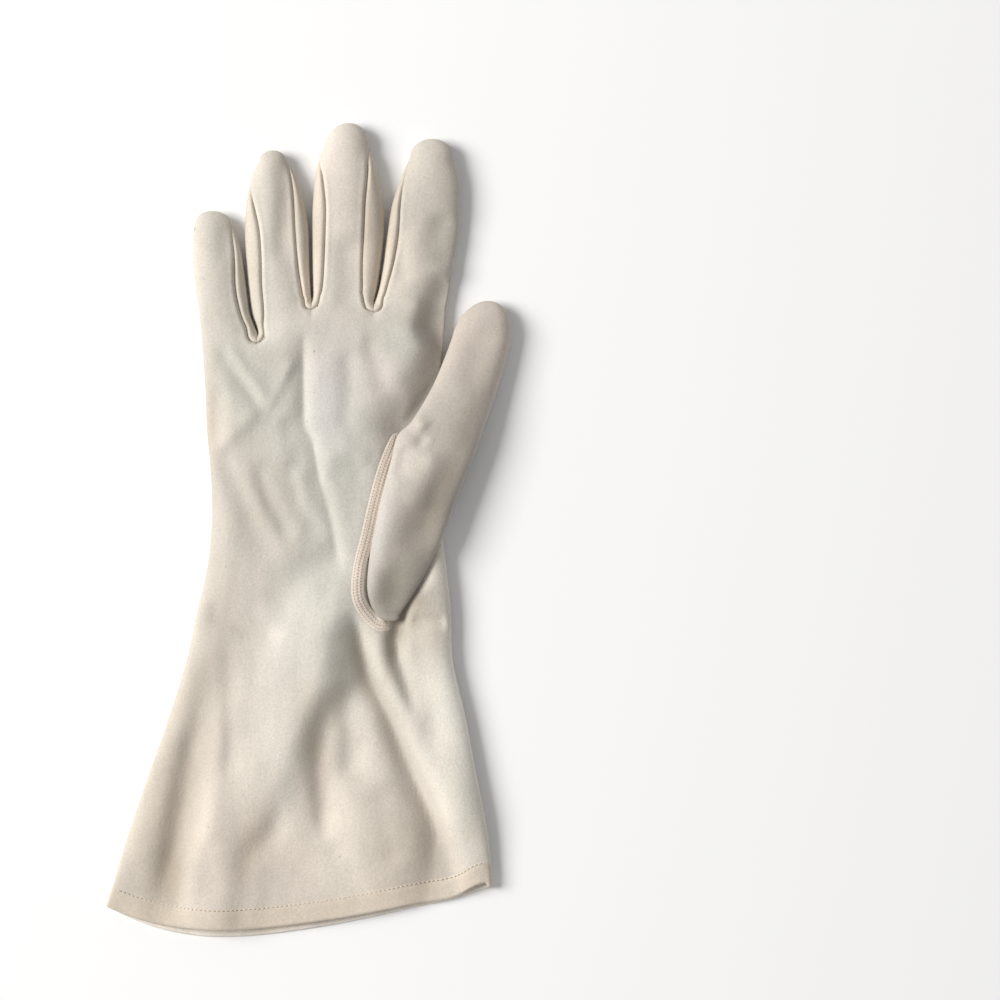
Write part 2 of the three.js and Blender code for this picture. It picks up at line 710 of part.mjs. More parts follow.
// The thumb's outer skin is closed all round, and its hollow and its opening are cut out of it
function makeThumb(wasm) {
  const sheet = new Sheet();
  const rows = thumbRows();
  const middles = rows.map(({ left, right }) => mix(left, right, 0.5));
  const line = [THUMB_BASE, ...middles, THUMB_TIP];
  const nets = rows.map((row, i) => thumbRow(sheet, { ...row, forward: ahead(line, i + 1) }));
  const endPoint = ([x, y], z, way) => sheet.add(new THREE.Vector3(x, y, z), way, CLOTH);
  const [bx, by] = ahead(line, 0);
  const [tx, ty] = ahead(line, line.length - 1);
  const base = endPoint(THUMB_BASE, THUMB_END_HEIGHT.base, new THREE.Vector3(-bx, -by, 0).normalize());
  const tip = endPoint(THUMB_TIP, THUMB_END_HEIGHT.tip, new THREE.Vector3(tx, ty, 0).normalize());
  const column = (layer, i) => [base, ...nets.map((net) => net[layer][i]), tip];
  const indexes = Array.from({ length: THUMB_COLUMNS + 1 }, (_, i) => i);
  sheet.net(indexes.map((i) => column('top', i)));
  sheet.net(indexes.map((i) => column('back', i)).reverse());
  const outer = solidOf(wasm, geometryOf(sheet.points, sheet.faces));
  const inner = solidOf(wasm, geometryOf(sheet.inner(), sheet.faces));
  return geometryFrom(outer.subtract(inner).subtract(holeTool(wasm)));
}

function clothMesh(name, geometry, color) {
  const material = new THREE.MeshStandardMaterial({ color, roughness: 0.92, metalness: 0 });
  const mesh = new THREE.Mesh(geometry, material);
  mesh.name = name;
  return mesh;
}

const wasm = await Module();
wasm.setup();

const glove = new THREE.Group();
glove.name = 'dress_glove';
const trank = geometryFrom(solidOf(wasm, makeTrank()).subtract(holeTool(wasm)));
glove.add(clothMesh('trank', trank, CLOTH_COLOUR));
FOURCHETTES.forEach((strip) => {
  glove.add(clothMesh(strip.name, makeFourchette(strip), FOURCHETTE_COLOUR));
});
glove.add(clothMesh('thumb', makeThumb(wasm), THUMB_COLOUR));

export default glove;
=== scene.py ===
"""Dress glove of thin knit cloth, lying palm up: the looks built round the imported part.

Lengths are millimetres until a mesh is made, which is in metres in the part's own frame:
fingers towards +Y, thumb towards +X, palm up, with the surface that it lies on at z = 0.
"""

import math
from types import SimpleNamespace

import bpy
import numpy as np
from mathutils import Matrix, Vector, noise


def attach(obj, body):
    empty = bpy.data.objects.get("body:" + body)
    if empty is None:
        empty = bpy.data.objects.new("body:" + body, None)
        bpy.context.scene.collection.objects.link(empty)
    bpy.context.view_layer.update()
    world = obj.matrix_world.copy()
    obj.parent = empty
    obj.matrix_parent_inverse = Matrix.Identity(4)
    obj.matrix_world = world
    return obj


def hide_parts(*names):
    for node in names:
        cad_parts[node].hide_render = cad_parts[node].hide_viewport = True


MM = 0.001
UP = np.array([0.0, 0.0, 1.0])

# Cloth
WALL = 0.6
HEM_WALL = 1.2
HEM_DEPTH = 7.2  # from the edge of the cuff to the row of stitches
HEM_UNSEWN = 3  # columns of the net at each side of the cuff that its stitches leave free
HEM_GROOVE = SimpleNamespace(depth=0.28, width=0.55)  # under the stitches
HEM_STEP = SimpleNamespace(height=0.22, before=0.6, after=0.9)  # onto the turned cloth
STITCH = SimpleNamespace(length=0.9, pitch=1.7, start=0.85, radius=0.18, lift=-0.08)
# Painted shade: dark bars sunk between the hem's stitches stand for the shade in the needle holes
NEEDLE_HOLE_PAINTED_SHADE = SimpleNamespace(length=0.75, pitch=1.7, start=1.7, radius=0.2, lift=-0.22)
BAND_STITCH = SimpleNamespace(length=0.65, pitch=1.15, start=0.55, radius=0.14, lift=0.03)
STITCH_FORM = SimpleNamespace(rings=7, sides=8, blunt=0.12, roundness=3, arch=0.6)

# Form of the hand
EDGE_HEIGHT = 4.3  # of the fold between palm and back
BACK_ROUNDING = 5  # how far in from the outline each side rounds off
PALM_ROUNDING = 10.5
FINGER_ROUNDING = 13
FINGERS_FROM = 60  # along the glove, where the rounding starts to turn into the fingers'
FINGERS_FULL = 88
BACK_BOW = 1.24  # how much further the back bows past the hem than the palm does
BOW_POWER = 2.4
BOW_SKEW = 0.55
BOW_END = 0.99  # the bow runs out at the very sides
HEM_SAG = SimpleNamespace(share=0.1, at=0.77, width=0.13)  # to the left of the cuff's right corner
HEM_CORNER = SimpleNamespace(lift=2.3, start=0.79, full=0.93, end=0.965, rows=(-112.5, -127))

# Fineness of the nets
ROW_PITCH = 1.45
HEM_PITCH = 0.75
COLUMNS = 28  # across each finger's share of the palm
SEAM_CROWDING = 0.6
CAP_ROWS = 9
SLOT_ROWS = 3  # times as many rows round the bottom of a slot
STRIP_COLUMNS = 9
THUMB_ROW_PITCH = 1.8
THUMB_COLUMNS = 34

# Seams of the fourchettes
STRIP_TUCK = 0.8  # how far a strip reaches under the panel
STRIP_UNDER = 1.45  # and how far below its face
STRIP_SUNK = 1.0  # how much lower than the palm a strip is beside the seam
STRIP_CLEAR = 0.12  # between the two strips at the bottom of a slot
FULL_SEAM_WIDTH = 3.5  # a strip narrower than this has a fainter seam
ROOT_SEAM = 0.7  # share of the seam's depth at the bottom of a slot
ROOT_FADE = 3.0  # and the stretch of seam over which it grows to its full depth
SLOT_SPREAD = 0.13  # share of a panel's width that follows the round bottom of the slot
SEAM_ROLL = SimpleNamespace(height=0.2, at=1.2, width=0.8)
SEAM_GROOVE = SimpleNamespace(depth=0.5, width=0.4)
BACK_SEAM = SimpleNamespace(depth=0.7, width=0.6)

# Form of a fourchette, across it from the palm's seam to the back's
STRIP_CROWDING = 1.25
STRIP_SINK_WIDTH = 0.7
STRIP_BULGE = SimpleNamespace(height=0.7, power=0.8)
STRIP_BACK = SimpleNamespace(lift=0.25, at_seam=0.9, width=1.0)
STRIP_WALL_SHARE = 0.45  # thickest wall, as a share of the strip's width
STRIP_TIP = SimpleNamespace(past=0.7, wall=0.1)


def table(columns, *rows):
    """Rows of values as objects with named columns."""
    return [SimpleNamespace(**dict(zip(columns.split(), row))) for row in rows]


# Waves of the cloth: their height, their length and the seed of their noise
WAVE = "height length seed"
RUMPLE = table(WAVE, (0.42, 21, 0.7), (0.13, 9.5, 5.3))
RUMPLE_FROM_EDGE = (0, 7)
EDGE_WAVER = table(WAVE, (0.5, 26, 3.1))
FOLDS_WAVER = table(WAVE, (0.5, 19, 6.6))
THUMB_RUMPLE = table(WAVE, (0.3, 11, 2.2))
BACK_DENTS = SimpleNamespace(height=1.6, length=24, seed=8.8, above=0.1, from_edge=(3, 14))

# Heights of the palm side above the surface, along the glove
CROWN = table(
    "y height",
    (-170, 3.8),
    (-148, 4.4),
    (-108, 9.0),
    (-35, 9.4),
    (5, 10.6),
    (45, 10.6),
    (80, 10.0),
    (170, 10.2),
)

# Outline of the hand from the hem to the knuckles, and how far each row bows towards the hem
HAND = table(
    "left_x left_y right_x right_y bow",
    (-75.8, -141.4, 68.9, -134.2, 10.3),
    (-73.6, -134.6, 68.7, -127.5, 9.0),
    (-67.6, -115.1, 67.0, -112.5, 6.8),
    (-60.5, -94.5, 63.1, -92.6, 4.5),
    (-52.6, -72.0, 59.2, -72.0, 3.0),
    (-45.8, -50.2, 54.3, -50.2, 1.9),
    (-41.7, -31.5, 53.5, -31.5, 1.1),
    (-38.0, -15.8, 52.0, -16.5, 0),
    (-36.3, -0.8, 50.5, -3.8, 0),
    (-36.1, 10.5, 49.4, 10.5, 0),
    (-36.8, 23.6, 48.7, 25.5, 0),
    (-38.0, 36.8, 48.7, 40.5, 0),
    (-38.5, 49.9, 49.4, 55.5, 0),
    (-39.5, 64.9, 50.5, 68.6, 0),
)

# The sides and the bottoms of the slots between the fingers, each with the crotch above it and
# how far and how steeply its seam sets out to the left and to the right
ROOTS = table(
    "x y share crotch_x crotch_y spread rise_left rise_right",
    (-40.2, 74.2, 0, -40.2, 74.2, 0, 0, 0),
    (-19.0, 69.0, 0.23, -18.8, 72.8, 14.0, 0.12, 0.12),
    (1.4, 81.6, 0.455, 1.4, 85.3, 11.0, 0.1, 0.1),
    (24.7, 80.6, 0.71, 24.7, 84.4, 14.0, 0.1, 0.1),
    (51.5, 81.8, 1, 51.5, 81.8, 0, 0, 0),
)

# Outline of each finger from root to tip, with the width of the fourchette on each side
STATION = "left_x left_y right_x right_y left_strip right_strip"
LITTLE = SimpleNamespace(
    tip=(-35.9, 118.9),
    rows=table(
        STATION,
        (-40.6, 77.2, -20.0, 75.4, 0, 3.4),
        (-41.2, 82.5, -22.0, 81.0, 0, 3.6),
        (-42.5, 91.1, -23.2, 90.0, 0, 4.1),
        (-43.2, 102.4, -24.8, 101.6, 0, 2.9),
        (-43.2, 109.9, -26.9, 109.5, 0, 1.6),
        (-42.4, 113.8, -28.6, 113.8, 0, 0),
    ),
)
RING = SimpleNamespace(
    tip=(-13.2, 141.6),
    rows=table(
        STATION,
        (-19.3, 75.5, 1.0, 87.5, 3.2, 3.1),
        (-21.0, 80.5, 0.8, 91.1, 5.1, 3.7),
        (-22.3, 90.0, 0.5, 97.5, 5.5, 4.3),
        (-23.3, 100.9, 0.4, 104.5, 6.1, 4.8),
        (-23.7, 111.8, 0.0, 113.0, 5.6, 5.0),
        (-23.0, 123.0, -1.8, 123.0, 2.4, 3.7),
        (-21.8, 129.0, -3.6, 129.0, 0, 2.5),
        (-20.4, 133.8, -5.6, 133.8, 0, 1.4),
        (-18.6, 137.2, -8.0, 137.2, 0, 0),
    ),
)
MIDDLE = SimpleNamespace(
    tip=(15.2, 151.9),
    rows=table(
        STATION,
        (1.8, 87.0, 25.0, 86.6, 2.9, 4.5),
        (1.7, 91.5, 25.9, 90.5, 4.0, 5.6),
        (1.5, 100.5, 27.3, 99.8, 4.8, 7.0),
        (1.4, 111.8, 28.4, 111.0, 5.3, 7.5),
        (1.6, 121.1, 28.2, 121.1, 5.2, 6.9),
        (2.7, 132.4, 26.2, 132.0, 2.8, 4.0),
        (4.0, 138.0, 24.6, 138.0, 0, 2.2),
        (5.7, 142.6, 22.8, 142.6, 0, 0),
    ),
)
INDEX = SimpleNamespace(
    tip=(46.4, 146.0),
    rows=table(
        STATION,
        (25.6, 86.6, 52.2, 86.0, 3.0, 0),
        (26.9, 91.5, 53.2, 91.3, 3.3, 0),
        (28.3, 99.8, 54.5, 99.8, 4.1, 0),
        (29.6, 110.2, 56.2, 109.9, 4.5, 0),
        (31.4, 121.1, 56.9, 120.8, 3.4, 0),
        (34.4, 130.1, 56.7, 130.1, 1.6, 0),
        (38.2, 139.1, 54.5, 139.1, 0, 0),
    ),
)
FINGERS = [LITTLE, RING, MIDDLE, INDEX]

# A fourchette lies on each inner side of a finger: its CAD node, finger, side and flat size in metres
FOURCHETTES = table(
    "node finger side flat_width flat_length",
    ("fourchette_little", 0, "right", 0.0155, 0.045),
    ("fourchette_ring_outer", 1, "left", 0.018, 0.060),
    ("fourchette_ring_inner", 1, "right", 0.017, 0.056),
    ("fourchette_middle_outer", 2, "left", 0.017, 0.057),
    ("fourchette_middle_inner", 2, "right", 0.020, 0.062),
    ("fourchette_index", 3, "left", 0.016, 0.058),
)

# The two longest creases
CUFF_CREASE = [
    (16, -29),
    (18.8, -38),
    (23.4, -57),
    (32, -76.7),
    (41.2, -95.5),
    (48.0, -113),
    (52.4, -127),
    (53.6, -138),
    (53, -156),
]
PALM_CREASE = [
    (-1.8, 75),
    (-1.6, 65),
    (-1.0, 54),
    (-0.6, 45),
    (-0.9, 38.5),
    (1.4, 33),
    (2.2, 26),
    (3.9, 18),
    (6.6, 10),
    (9, -2),
    (14, -20),
]

# Folds of the palm side: rise, half width towards -X and towards +X, and the line from top to hem
FOLDS = table(
    "rise west east line",
    # cuff
    (2.6, 12.0, 6.5, [(13, -14), (7.5, -44), (-3.5, -70.6), (-13.5, -94), (-24, -121), (-33, -160)]),
    (-1.7, 3.2, 4.6, [(13, -57), (8.5, -69), (6, -79), (5.4, -90), (6, -104), (6.5, -118)]),
    (-1.5, 3.2, 5.5, [(13, -55), (15, -66), (16.5, -76), (16.5, -86), (14.5, -97)]),
    (-1.2, 9.0, 3.4, CUFF_CREASE),
    (0.8, 3.6, 6.0, [(22, -34), (27.6, -47), (35.5, -63), (44.5, -82), (53.4, -100), (60.5, -120)]),
    (-1.5, 1.9, 2.6, [(46, -6), (41.5, -16), (36, -27), (31.5, -38), (33, -47), (37.5, -56), (43, -65)]),
    (-0.9, 4.0, 4.0, [(38, -40), (42.5, -54.4), (45, -68), (49, -88)]),
    (-1.2, 1.8, 1.8, [(38, -34.2), (44, -35.3), (53, -35.6)]),
    (-1.7, 5.0, 5.5, [(-32, -46), (-37, -60), (-41.5, -80), (-45.5, -104), (-50, -127), (-55, -155)]),
    (-0.8, 2.8, 3.2, [(-42, -72), (-45.5, -90), (-47.5, -106), (-49, -118), (-52, -130), (-54, -142)]),
    (0.9, 3.4, 5.0, [(-29, -58), (-32, -76), (-35, -98), (-39, -122), (-43, -155)]),
    (-0.7, 1.8, 2.6, [(-31, -40), (-29.5, -56), (-29.0, -78), (-29.5, -98)]),
    (-1.5, 3.6, 3.6, [(-10, -98), (-14, -112), (-23, -125), (-25.5, -138), (-26, -158)]),
    (-0.5, 3.0, 3.0, [(-35, -114), (-38, -128), (-38, -142)]),
    (-0.7, 4.2, 4.2, [(24, -96), (29, -112), (34, -128)]),
    (-0.3, 3.2, 3.2, [(8, -114), (14, -128), (22, -144)]),
    # wrist
    (-1.3, 2.8, 3.2, [(-40, -27), (-34.2, -32.6), (-25, -36.5), (-15, -39.2), (-8, -42)]),
    (-0.7, 5.0, 4.0, [(11, -3), (6, -10.5), (-5, -22), (-13, -34)]),
    # palm towards the little finger
    (-1.0, 3.8, 2.8, [(-33, 34), (-31.2, 26.7), (-27.1, 14.6), (-20.6, 0.4), (-16, -9.8), (-13, -17)]),
    (-1.1, 2.4, 3.2, [(-20, 27), (-17, 20.6), (-14.0, 10.5), (-8.9, 0.4), (-6, -6)]),
    (-1.0, 3.4, 2.2, [(-9, 27), (-7.3, 19), (-3.3, 8.5), (2.8, -0.7), (6, -6)]),
    (-0.8, 2.6, 2.6, [(-6.5, 44), (-6, 31), (-4.5, 19)]),
    (0.8, 2.4, 3.0, [(-35, 27), (-31, 32), (-24.1, 40), (-18, 46)]),
    (-1.0, 3.2, 2.6, [(-34, 54), (-35.5, 42), (-35.0, 28)]),
    (0.45, 1.6, 1.6, [(-31, 69), (-26.0, 63.6), (-19, 54.5), (-13.5, 46)]),
    (0.5, 1.6, 1.6, [(-4, 64), (-7.5, 58.1), (-12.5, 48), (-15, 42)]),
    # below the index finger and beside the thumb
    (-3.9, 4.4, 7.5, [(55, 96), (51.5, 86), (47, 77.5), (42, 69)]),
    (1.3, 3.6, 3.4, [(43, 86), (39, 78), (36, 70)]),
    (-3.4, 5.0, 7.0, [(59, 78), (50.9, 62), (42.8, 47.5), (33, 35.9), (28, 28)]),
    (1.2, 5.0, 5.5, [(41, 76), (37, 63), (31, 50)]),
    # middle of the palm
    (-0.7, 2.8, 2.4, [(14, 68), (16.5, 57), (16, 47), (13, 34)]),
    (0.35, 2.6, 3.2, [(18, 76), (22.5, 64), (25, 50), (23, 40)]),
    (-0.5, 2.4, 2.8, [(21, 72), (27, 60), (29, 48)]),
    (0.4, 2.0, 2.0, [(5, 22), (9, 27), (14, 29.5), (19, 28), (24, 24)]),
    (-0.4, 2.4, 2.4, [(8, 16), (12, 21), (16.5, 22), (22, 18)]),
    # fingers
    (-1.5, 4.6, 5.0, [(15, 112), (16, 100), (16, 90), (14.5, 78)]),
    (-1.8, 3.6, 6.5, [(52, 118), (50, 107), (52, 96)]),
    (-1.0, 3.0, 2.6, [(33, 114), (35, 102), (37, 90)]),
    (-1.1, 3.4, 4.0, [(-30, 124), (-30.5, 112), (-32, 98)]),
    (-1.2, 3.4, 3.2, [(-9, 140), (-8, 126), (-8.5, 112), (-10, 96)]),
)

# The same for folds with a sharp bottom
CREASES = table(
    "rise west east line",
    (-2.8, 4.6, 1.7, CUFF_CREASE),
    (-1.1, 1.7, 1.2, CUFF_CREASE),
    (-2.2, 1.6, 1.8, [(38, -25), (34.8, -31), (33.4, -36), (31.6, -42), (33, -50), (37, -60), (41, -72)]),
    (-2.0, 2.8, 1.3, PALM_CREASE),
    (-0.8, 2.6, 1.3, [(-34, 67), (-29.7, 61.5), (-21.5, 51), (-16.5, 45)]),
    (-0.6, 1.6, 2.4, [(-3, 62), (-8.5, 53), (-12.5, 46), (-14.5, 40)]),
)

FOLD_POWER = 2  # of the curve across a fold: the lower, the sharper
CREASE_POWER = 1.3
FOLD_END = SimpleNamespace(share=0.22, longest=14)  # the stretch over which a fold runs out
FOLD_SWAY = SimpleNamespace(reach=1.3, length=13, seeds=(11.3, 17.9))  # how they stray from their lines
PALM_FOLDS_DEPTH = 1.4
THUMB_FOLDS_DEPTH = 1.5
LOWEST_PALM = 2.8  # the palm's folds stop short of the back

# The thumb, from its base to the last station before its tip
THUMB_BASE = (30.7, -34.9)
THUMB_TIP = (67.9, 85.2)
THUMB = table(
    "left_x left_y right_x right_y floor crest tilt edge",
    (25.5, -32.2, 34.2, -32.7, 7.6, 9.9, 0.1, 0.10),
    (23.3, -28.4, 36.5, -29.3, 7.6, 10.9, 0.1, 0.08),
    (22.1, -22.5, 39.8, -24.2, 7.6, 11.8, 0.2, 0.06),
    (23.2, -9.8, 44.2, -16.5, 7.6, 13.0, 0.3, 0.06),
    (25.8, 3.9, 50.0, -4.5, 7.6, 14.2, 0.4, 0.08),
    (28.6, 15.8, 54.3, 7.5, 7.7, 15.2, 0.9, 0.14),
    (31.3, 25.7, 58.4, 18.0, 7.8, 15.4, 1.3, 0.20),
    (33.7, 34.5, 62.2, 27.4, 7.8, 15.2, 1.7, 0.32),
    (39.1, 40.1, 65.5, 36.4, 7.0, 14.6, 2.0, 0.42),
    (46.3, 52.1, 69.7, 48.4, 4.6, 13.2, 2.0, 0.42),
    (50.9, 63.0, 73.4, 60.0, 2.0, 11.8, 1.4, 0.42),
    (53.9, 71.2, 75.7, 69.8, 0.4, 10.8, 0.4, 0.42),
)
THUMB_END_HEIGHT = SimpleNamespace(base=8.4, tip=4.4)
THUMB_TOP = 14.6  # where its specks lie
THUMB_SAG_POWER = 4
THUMB_CREST_POWERS = (2.0, 3.0)  # left and right of its crest: the higher, the squarer
THUMB_RIGHT_EDGE = 0.42  # where its right fold lies between floor and crest

# The bed of the thumb: how high the palm may be under it
BED_ROWS = 10  # rows of the thumb that lie over the palm
BED_LEAVING = (6, 9)  # the rows between which the thumb leaves the palm
BED_HEIGHT = 7.5
BED_DROP = 2.5  # how much lower the palm is where the thumb leaves it
BED_SLOPE = 0.75  # how steeply the palm may rise beside it
BED_BLEND = 0.8

# The opening in the palm under the thumb
THUMB_HOLE = SimpleNamespace(x=36.3, y=-2.6, length=44, width=15, turn=-0.324)
THUMB_OPEN_BELOW = 9.5  # the height up to which the thumb's lower side is open over the hole

# Dents and ridges on the thumb, as on the palm
THUMB_FOLDS = table(
    "rise west east line",
    (-1.3, 5.0, 4.0, [(56, 38), (52.5, 27), (47, 13), (41, -2), (37, -12)]),
    (0.3, 2.0, 2.6, [(34, 30), (31.5, 20), (28.5, 2), (26.5, -14)]),
    (-0.8, 4.0, 4.0, [(32, -15), (30.5, -22), (28, -31)]),
    (0.9, 3.0, 3.0, [(41, 44), (41, 38), (39, 30)]),
    (-0.9, 2.2, 2.2, [(36, 30), (35, 24), (34, 18)]),
    (-1.4, 2.0, 1.8, [(34, 41), (38, 37), (41.0, 34), (45, 30)]),
    (1.0, 1.8, 1.8, [(38, 45), (41.5, 40), (45, 36)]),
    (0.7, 3.0, 3.0, [(47, 30), (44, 18), (40, 6)]),
    (-0.7, 4.0, 4.0, [(66, 76), (64, 66), (60, 50)]),
)

# Outer border of the band that is stitched round the thumb's opening
BAND_BORDER = [
    (33.4, 37.6),
    (29.8, 31.8),
    (25.8, 21.4),
    (23.0, 11.2),
    (19.9, -2.4),
    (16.9, -14.2),
    (16.3, -24.4),
    (18.7, -31.3),
    (23.6, -37.0),
    (27.4, -38.6),
    (31.4, -38.0),
    (34.6, -34.4),
]
BAND = SimpleNamespace(
    width=5.0,
    end_share=0.4,  # of its width at its ends
    taper=8,
    height=0.32,
    roundness=3.5,
    ridge=0.05,  # height of the ridges between its rows of stitches
    ridges=3,
    inset=0.1,  # how far its border lies below the palm's face
    follow=0.5,  # how much of the palm's fall towards the thumb it takes part in
    sink=0.5,
    sunk_rows=3,  # at each end
    columns=12,
    pitch=1.2,
)
BAND_STITCH_COLUMNS = [2, 5, 8]


# Points and lines

def smooth_line(points, steps):
    """Points on a smooth curve through the given ones; the first and the last only steer the ends."""
    points = np.asarray(points, float)
    line = []
    for i, count in enumerate(steps):
        before, a, b, after = points[i : i + 4]
        t = (np.arange(count) / count).reshape(-1, *[1] * a.ndim)
        slope_a = (b - before) / 2
        slope_b = (after - a) / 2
        curve = 3 * (b - a) - 2 * slope_a - slope_b
        line.append(a + slope_a * t + curve * t**2 + (2 * (a - b) + slope_a + slope_b) * t**3)
    line.append(points[-2][None])
    return np.concatenate(line)


def smooth_path(points, pitch):
    """A smooth curve through all the given points, with points about that far apart."""
    points = np.asarray(points, float)
    guided = [2 * points[0] - points[1], *points, 2 * points[-1] - points[-2]]
    steps = [max(1, round(np.linalg.norm(b - a) / pitch)) for a, b in zip(points, points[1:])]
    return smooth_line(guided, steps)


def mirrored(point, centre):
    return 2 * centre - point


def left_of(row):
    return np.array([row.left_x, row.left_y])


def right_of(row):
    return np.array([row.right_x, row.right_y])


def between(a, b, shares):
    """Points at shares of the way from a to b, one for each share."""
    return a + (b - a) * np.asarray(shares)[:, None]


def nearest(line, points):
    """For each point: signed distance to the line, positive on its left, and where along it."""
    line = np.asarray(line, float)
    points = np.asarray(points, float)
    best = np.full(len(points), np.inf)
    side = np.ones(len(points))
    at = np.zeros(len(points))
    for i, (a, b) in enumerate(zip(line, line[1:])):
        way = b - a
        off = points - a
        t = np.clip(off @ way / (way @ way), 0, 1)
        away = np.linalg.norm(off - t[:, None] * way, axis=1)
        closer = away < best
        best[closer] = away[closer]
        at[closer] = i + t[closer]
        side[closer] = np.where(way[0] * off[:, 1] - way[1] * off[:, 0] >= 0, 1, -1)[closer]
    return best * side, at


def travelled(line):
    """Length of the line from its start to each of its points."""
    return np.concatenate([[0], np.cumsum(np.linalg.norm(np.diff(line, axis=0), axis=1))])


def smoothstep(low, high, values):
    t = np.clip((np.asarray(values, float) - low) / (high - low), 0, 1)
    return t * t * (3 - 2 * t)


def hump(distance, at, width):
    """Bell curve of height 1."""
    return np.exp(-(((distance - at) / width) ** 2))


def ripple(points, length, seed):
    """Smooth noise from -1 to 1 with about that wavelength, and longer along the glove."""
    scale = np.array([1 / length, 0.7 / length])
    return np.array([noise.noise(Vector((x, y, seed))) for x, y in points * scale])


def ripples(points, waves):
    return sum(wave.height * ripple(points, wave.length, wave.seed) for wave in waves)


def across_and_along(points, spot):
    """Distances from a spot, across and along the way that it is turned."""
    dx, dy = points[:, 0] - spot.x, points[:, 1] - spot.y
    across = dx * math.cos(spot.turn) + dy * math.sin(spot.turn)
    along = dy * math.cos(spot.turn) - dx * math.sin(spot.turn)
    return across, along


def from_first_row(net):
    """How far each point of a net is from its first row, along its column."""
    steps = np.diff(net, axis=0, prepend=net[:1])
    return np.cumsum(np.linalg.norm(steps, axis=-1), axis=0)


# Nets of the hand and the fingers, each an array of rows, columns and coordinates

def column_shares():
    even = np.linspace(0, 1, COLUMNS + 1)
    crowded = (1 - np.cos(np.pi * even)) / 2
    return even + (crowded - even) * SEAM_CROWDING


def steps_between(rows, pitch):
    centres = [(left_of(row) + right_of(row)) / 2 for row in rows]
    return [max(1, round(np.linalg.norm(b - a) / pitch)) for a, b in zip(centres, centres[1:])]


def hand_points(row, across, bow_factor):
    side = 2 * across - 1
    bow = row.bow * bow_factor * (1 - np.abs(side) ** BOW_POWER) * (1 - BOW_SKEW * side)
    bow += row.bow * HEM_SAG.share * hump(side, HEM_SAG.at, HEM_SAG.width)
    points = between(left_of(row), right_of(row), across)
    points[:, 1] -= bow * (1 - smoothstep(BOW_END, 1, np.abs(side)))
    if bow_factor == 1:
        corner = smoothstep(HEM_CORNER.start, HEM_CORNER.full, side)
        corner *= 1 - smoothstep(HEM_CORNER.end, 1, side)
        points[:, 1] += HEM_CORNER.lift * corner * smoothstep(*HEM_CORNER.rows, row.right_y)
    return points


def panel_points(row, shares):
    """Points of a finger's panel, between the seams of its two fourchettes."""
    left, right = left_of(row), right_of(row)
    width = np.linalg.norm(right - left)
    seam_left = left + (right - left) * row.left_strip / width
    seam_right = right + (left - right) * row.right_strip / width
    return between(seam_left, seam_right, shares)


def root_points(finger, shares):
    a, b = ROOTS[finger], ROOTS[finger + 1]
    return between(np.array([a.x, a.y]), np.array([b.x, b.y]), shares)


def across_hand(finger, shares):
    a, b = ROOTS[finger], ROOTS[finger + 1]
    return a.share + (b.share - a.share) * shares


def hand_steps():
    root_stretch = 6
    hem, *rest = steps_between(HAND, ROW_PITCH)
    return [round(hem * ROW_PITCH / HEM_PITCH), *rest, root_stretch]


def hand_net(bow_factor):
    """The hand from the hem to the row of knuckles."""
    shares = column_shares()
    kept = [shares if finger == 0 else shares[1:] for finger in range(len(FINGERS))]
    across = np.concatenate([across_hand(finger, s) for finger, s in enumerate(kept)])
    rows = [hand_points(row, across, bow_factor) for row in HAND]
    roots = np.concatenate([root_points(finger, s) for finger, s in enumerate(kept)])
    ends = [mirrored(rows[1], rows[0]), mirrored(rows[-1], roots)]
    return smooth_line([ends[0], *rows, roots, ends[1]], hand_steps())


def finger_steps(finger):
    a, b = ROOTS[finger], ROOTS[finger + 1]
    knuckles = SimpleNamespace(
        left_x=a.crotch_x, left_y=a.crotch_y, right_x=b.crotch_x, right_y=b.crotch_y
    )
    first, *rest = steps_between([knuckles, *FINGERS[finger].rows], ROW_PITCH)
    return [first * SLOT_ROWS, *rest]


def finger_net(finger, before, root, stations):
    end = mirrored(stations[-2], stations[-1])
    return smooth_line([before, root, *stations, end], finger_steps(finger))


def cap_net(finger, shares):
    """Rows that round off a fingertip, narrowing as a half ellipse."""
    last = FINGERS[finger].rows[-1]
    middle = (left_of(last) + right_of(last)) / 2
    rows = []
    for i in range(1, CAP_ROWS + 1):
        turn = i / CAP_ROWS * math.pi / 2
        centre = middle + (np.array(FINGERS[finger].tip) - middle) * math.sin(turn)
        narrow = 0 if i == CAP_ROWS else math.cos(turn)
        rows.append(centre + (right_of(last) - left_of(last)) * narrow * (shares - 0.5)[:, None])
    return np.array(rows)


def panel_net(finger, shares):
    """A finger's panel from its root to the tip."""
    stations = [panel_points(row, shares) for row in FINGERS[finger].rows]
    before = hand_points(HAND[-1], across_hand(finger, shares), 1)
    for root, from_slot, side in (
        (ROOTS[finger], shares, 1),
        (ROOTS[finger + 1], 1 - shares, -1),
    ):
        rise = root.rise_right if side == 1 else root.rise_left
        guide = stations[0] - 2 * root.spread * np.array([side, rise])
        round_share = hump(from_slot, 0, SLOT_SPREAD) if root.spread else 0 * shares
        before = before + (guide - before) * round_share[:, None]
    panel = finger_net(finger, before, root_points(finger, shares), stations)
    return np.concatenate([panel, cap_net(finger, shares)])


def finger_side(finger, side):
    """The side of a finger from the crotch to the last station."""
    root = ROOTS[finger if side == "left" else finger + 1]
    point_at = left_of if side == "left" else right_of
    stations = [point_at(row) for row in FINGERS[finger].rows]
    before = np.array([root.x, root.y])
    return finger_net(finger, before, np.array([root.crotch_x, root.crotch_y]), stations)


def strip_end(finger, side):
    """The row of the net where a fourchette has run out."""
    rows = FINGERS[finger].rows
    widths = [row.left_strip if side == "left" else row.right_strip for row in rows]
    last = max(i for i, width in enumerate(widths) if width > 0)
    return sum(finger_steps(finger)[: last + 2])


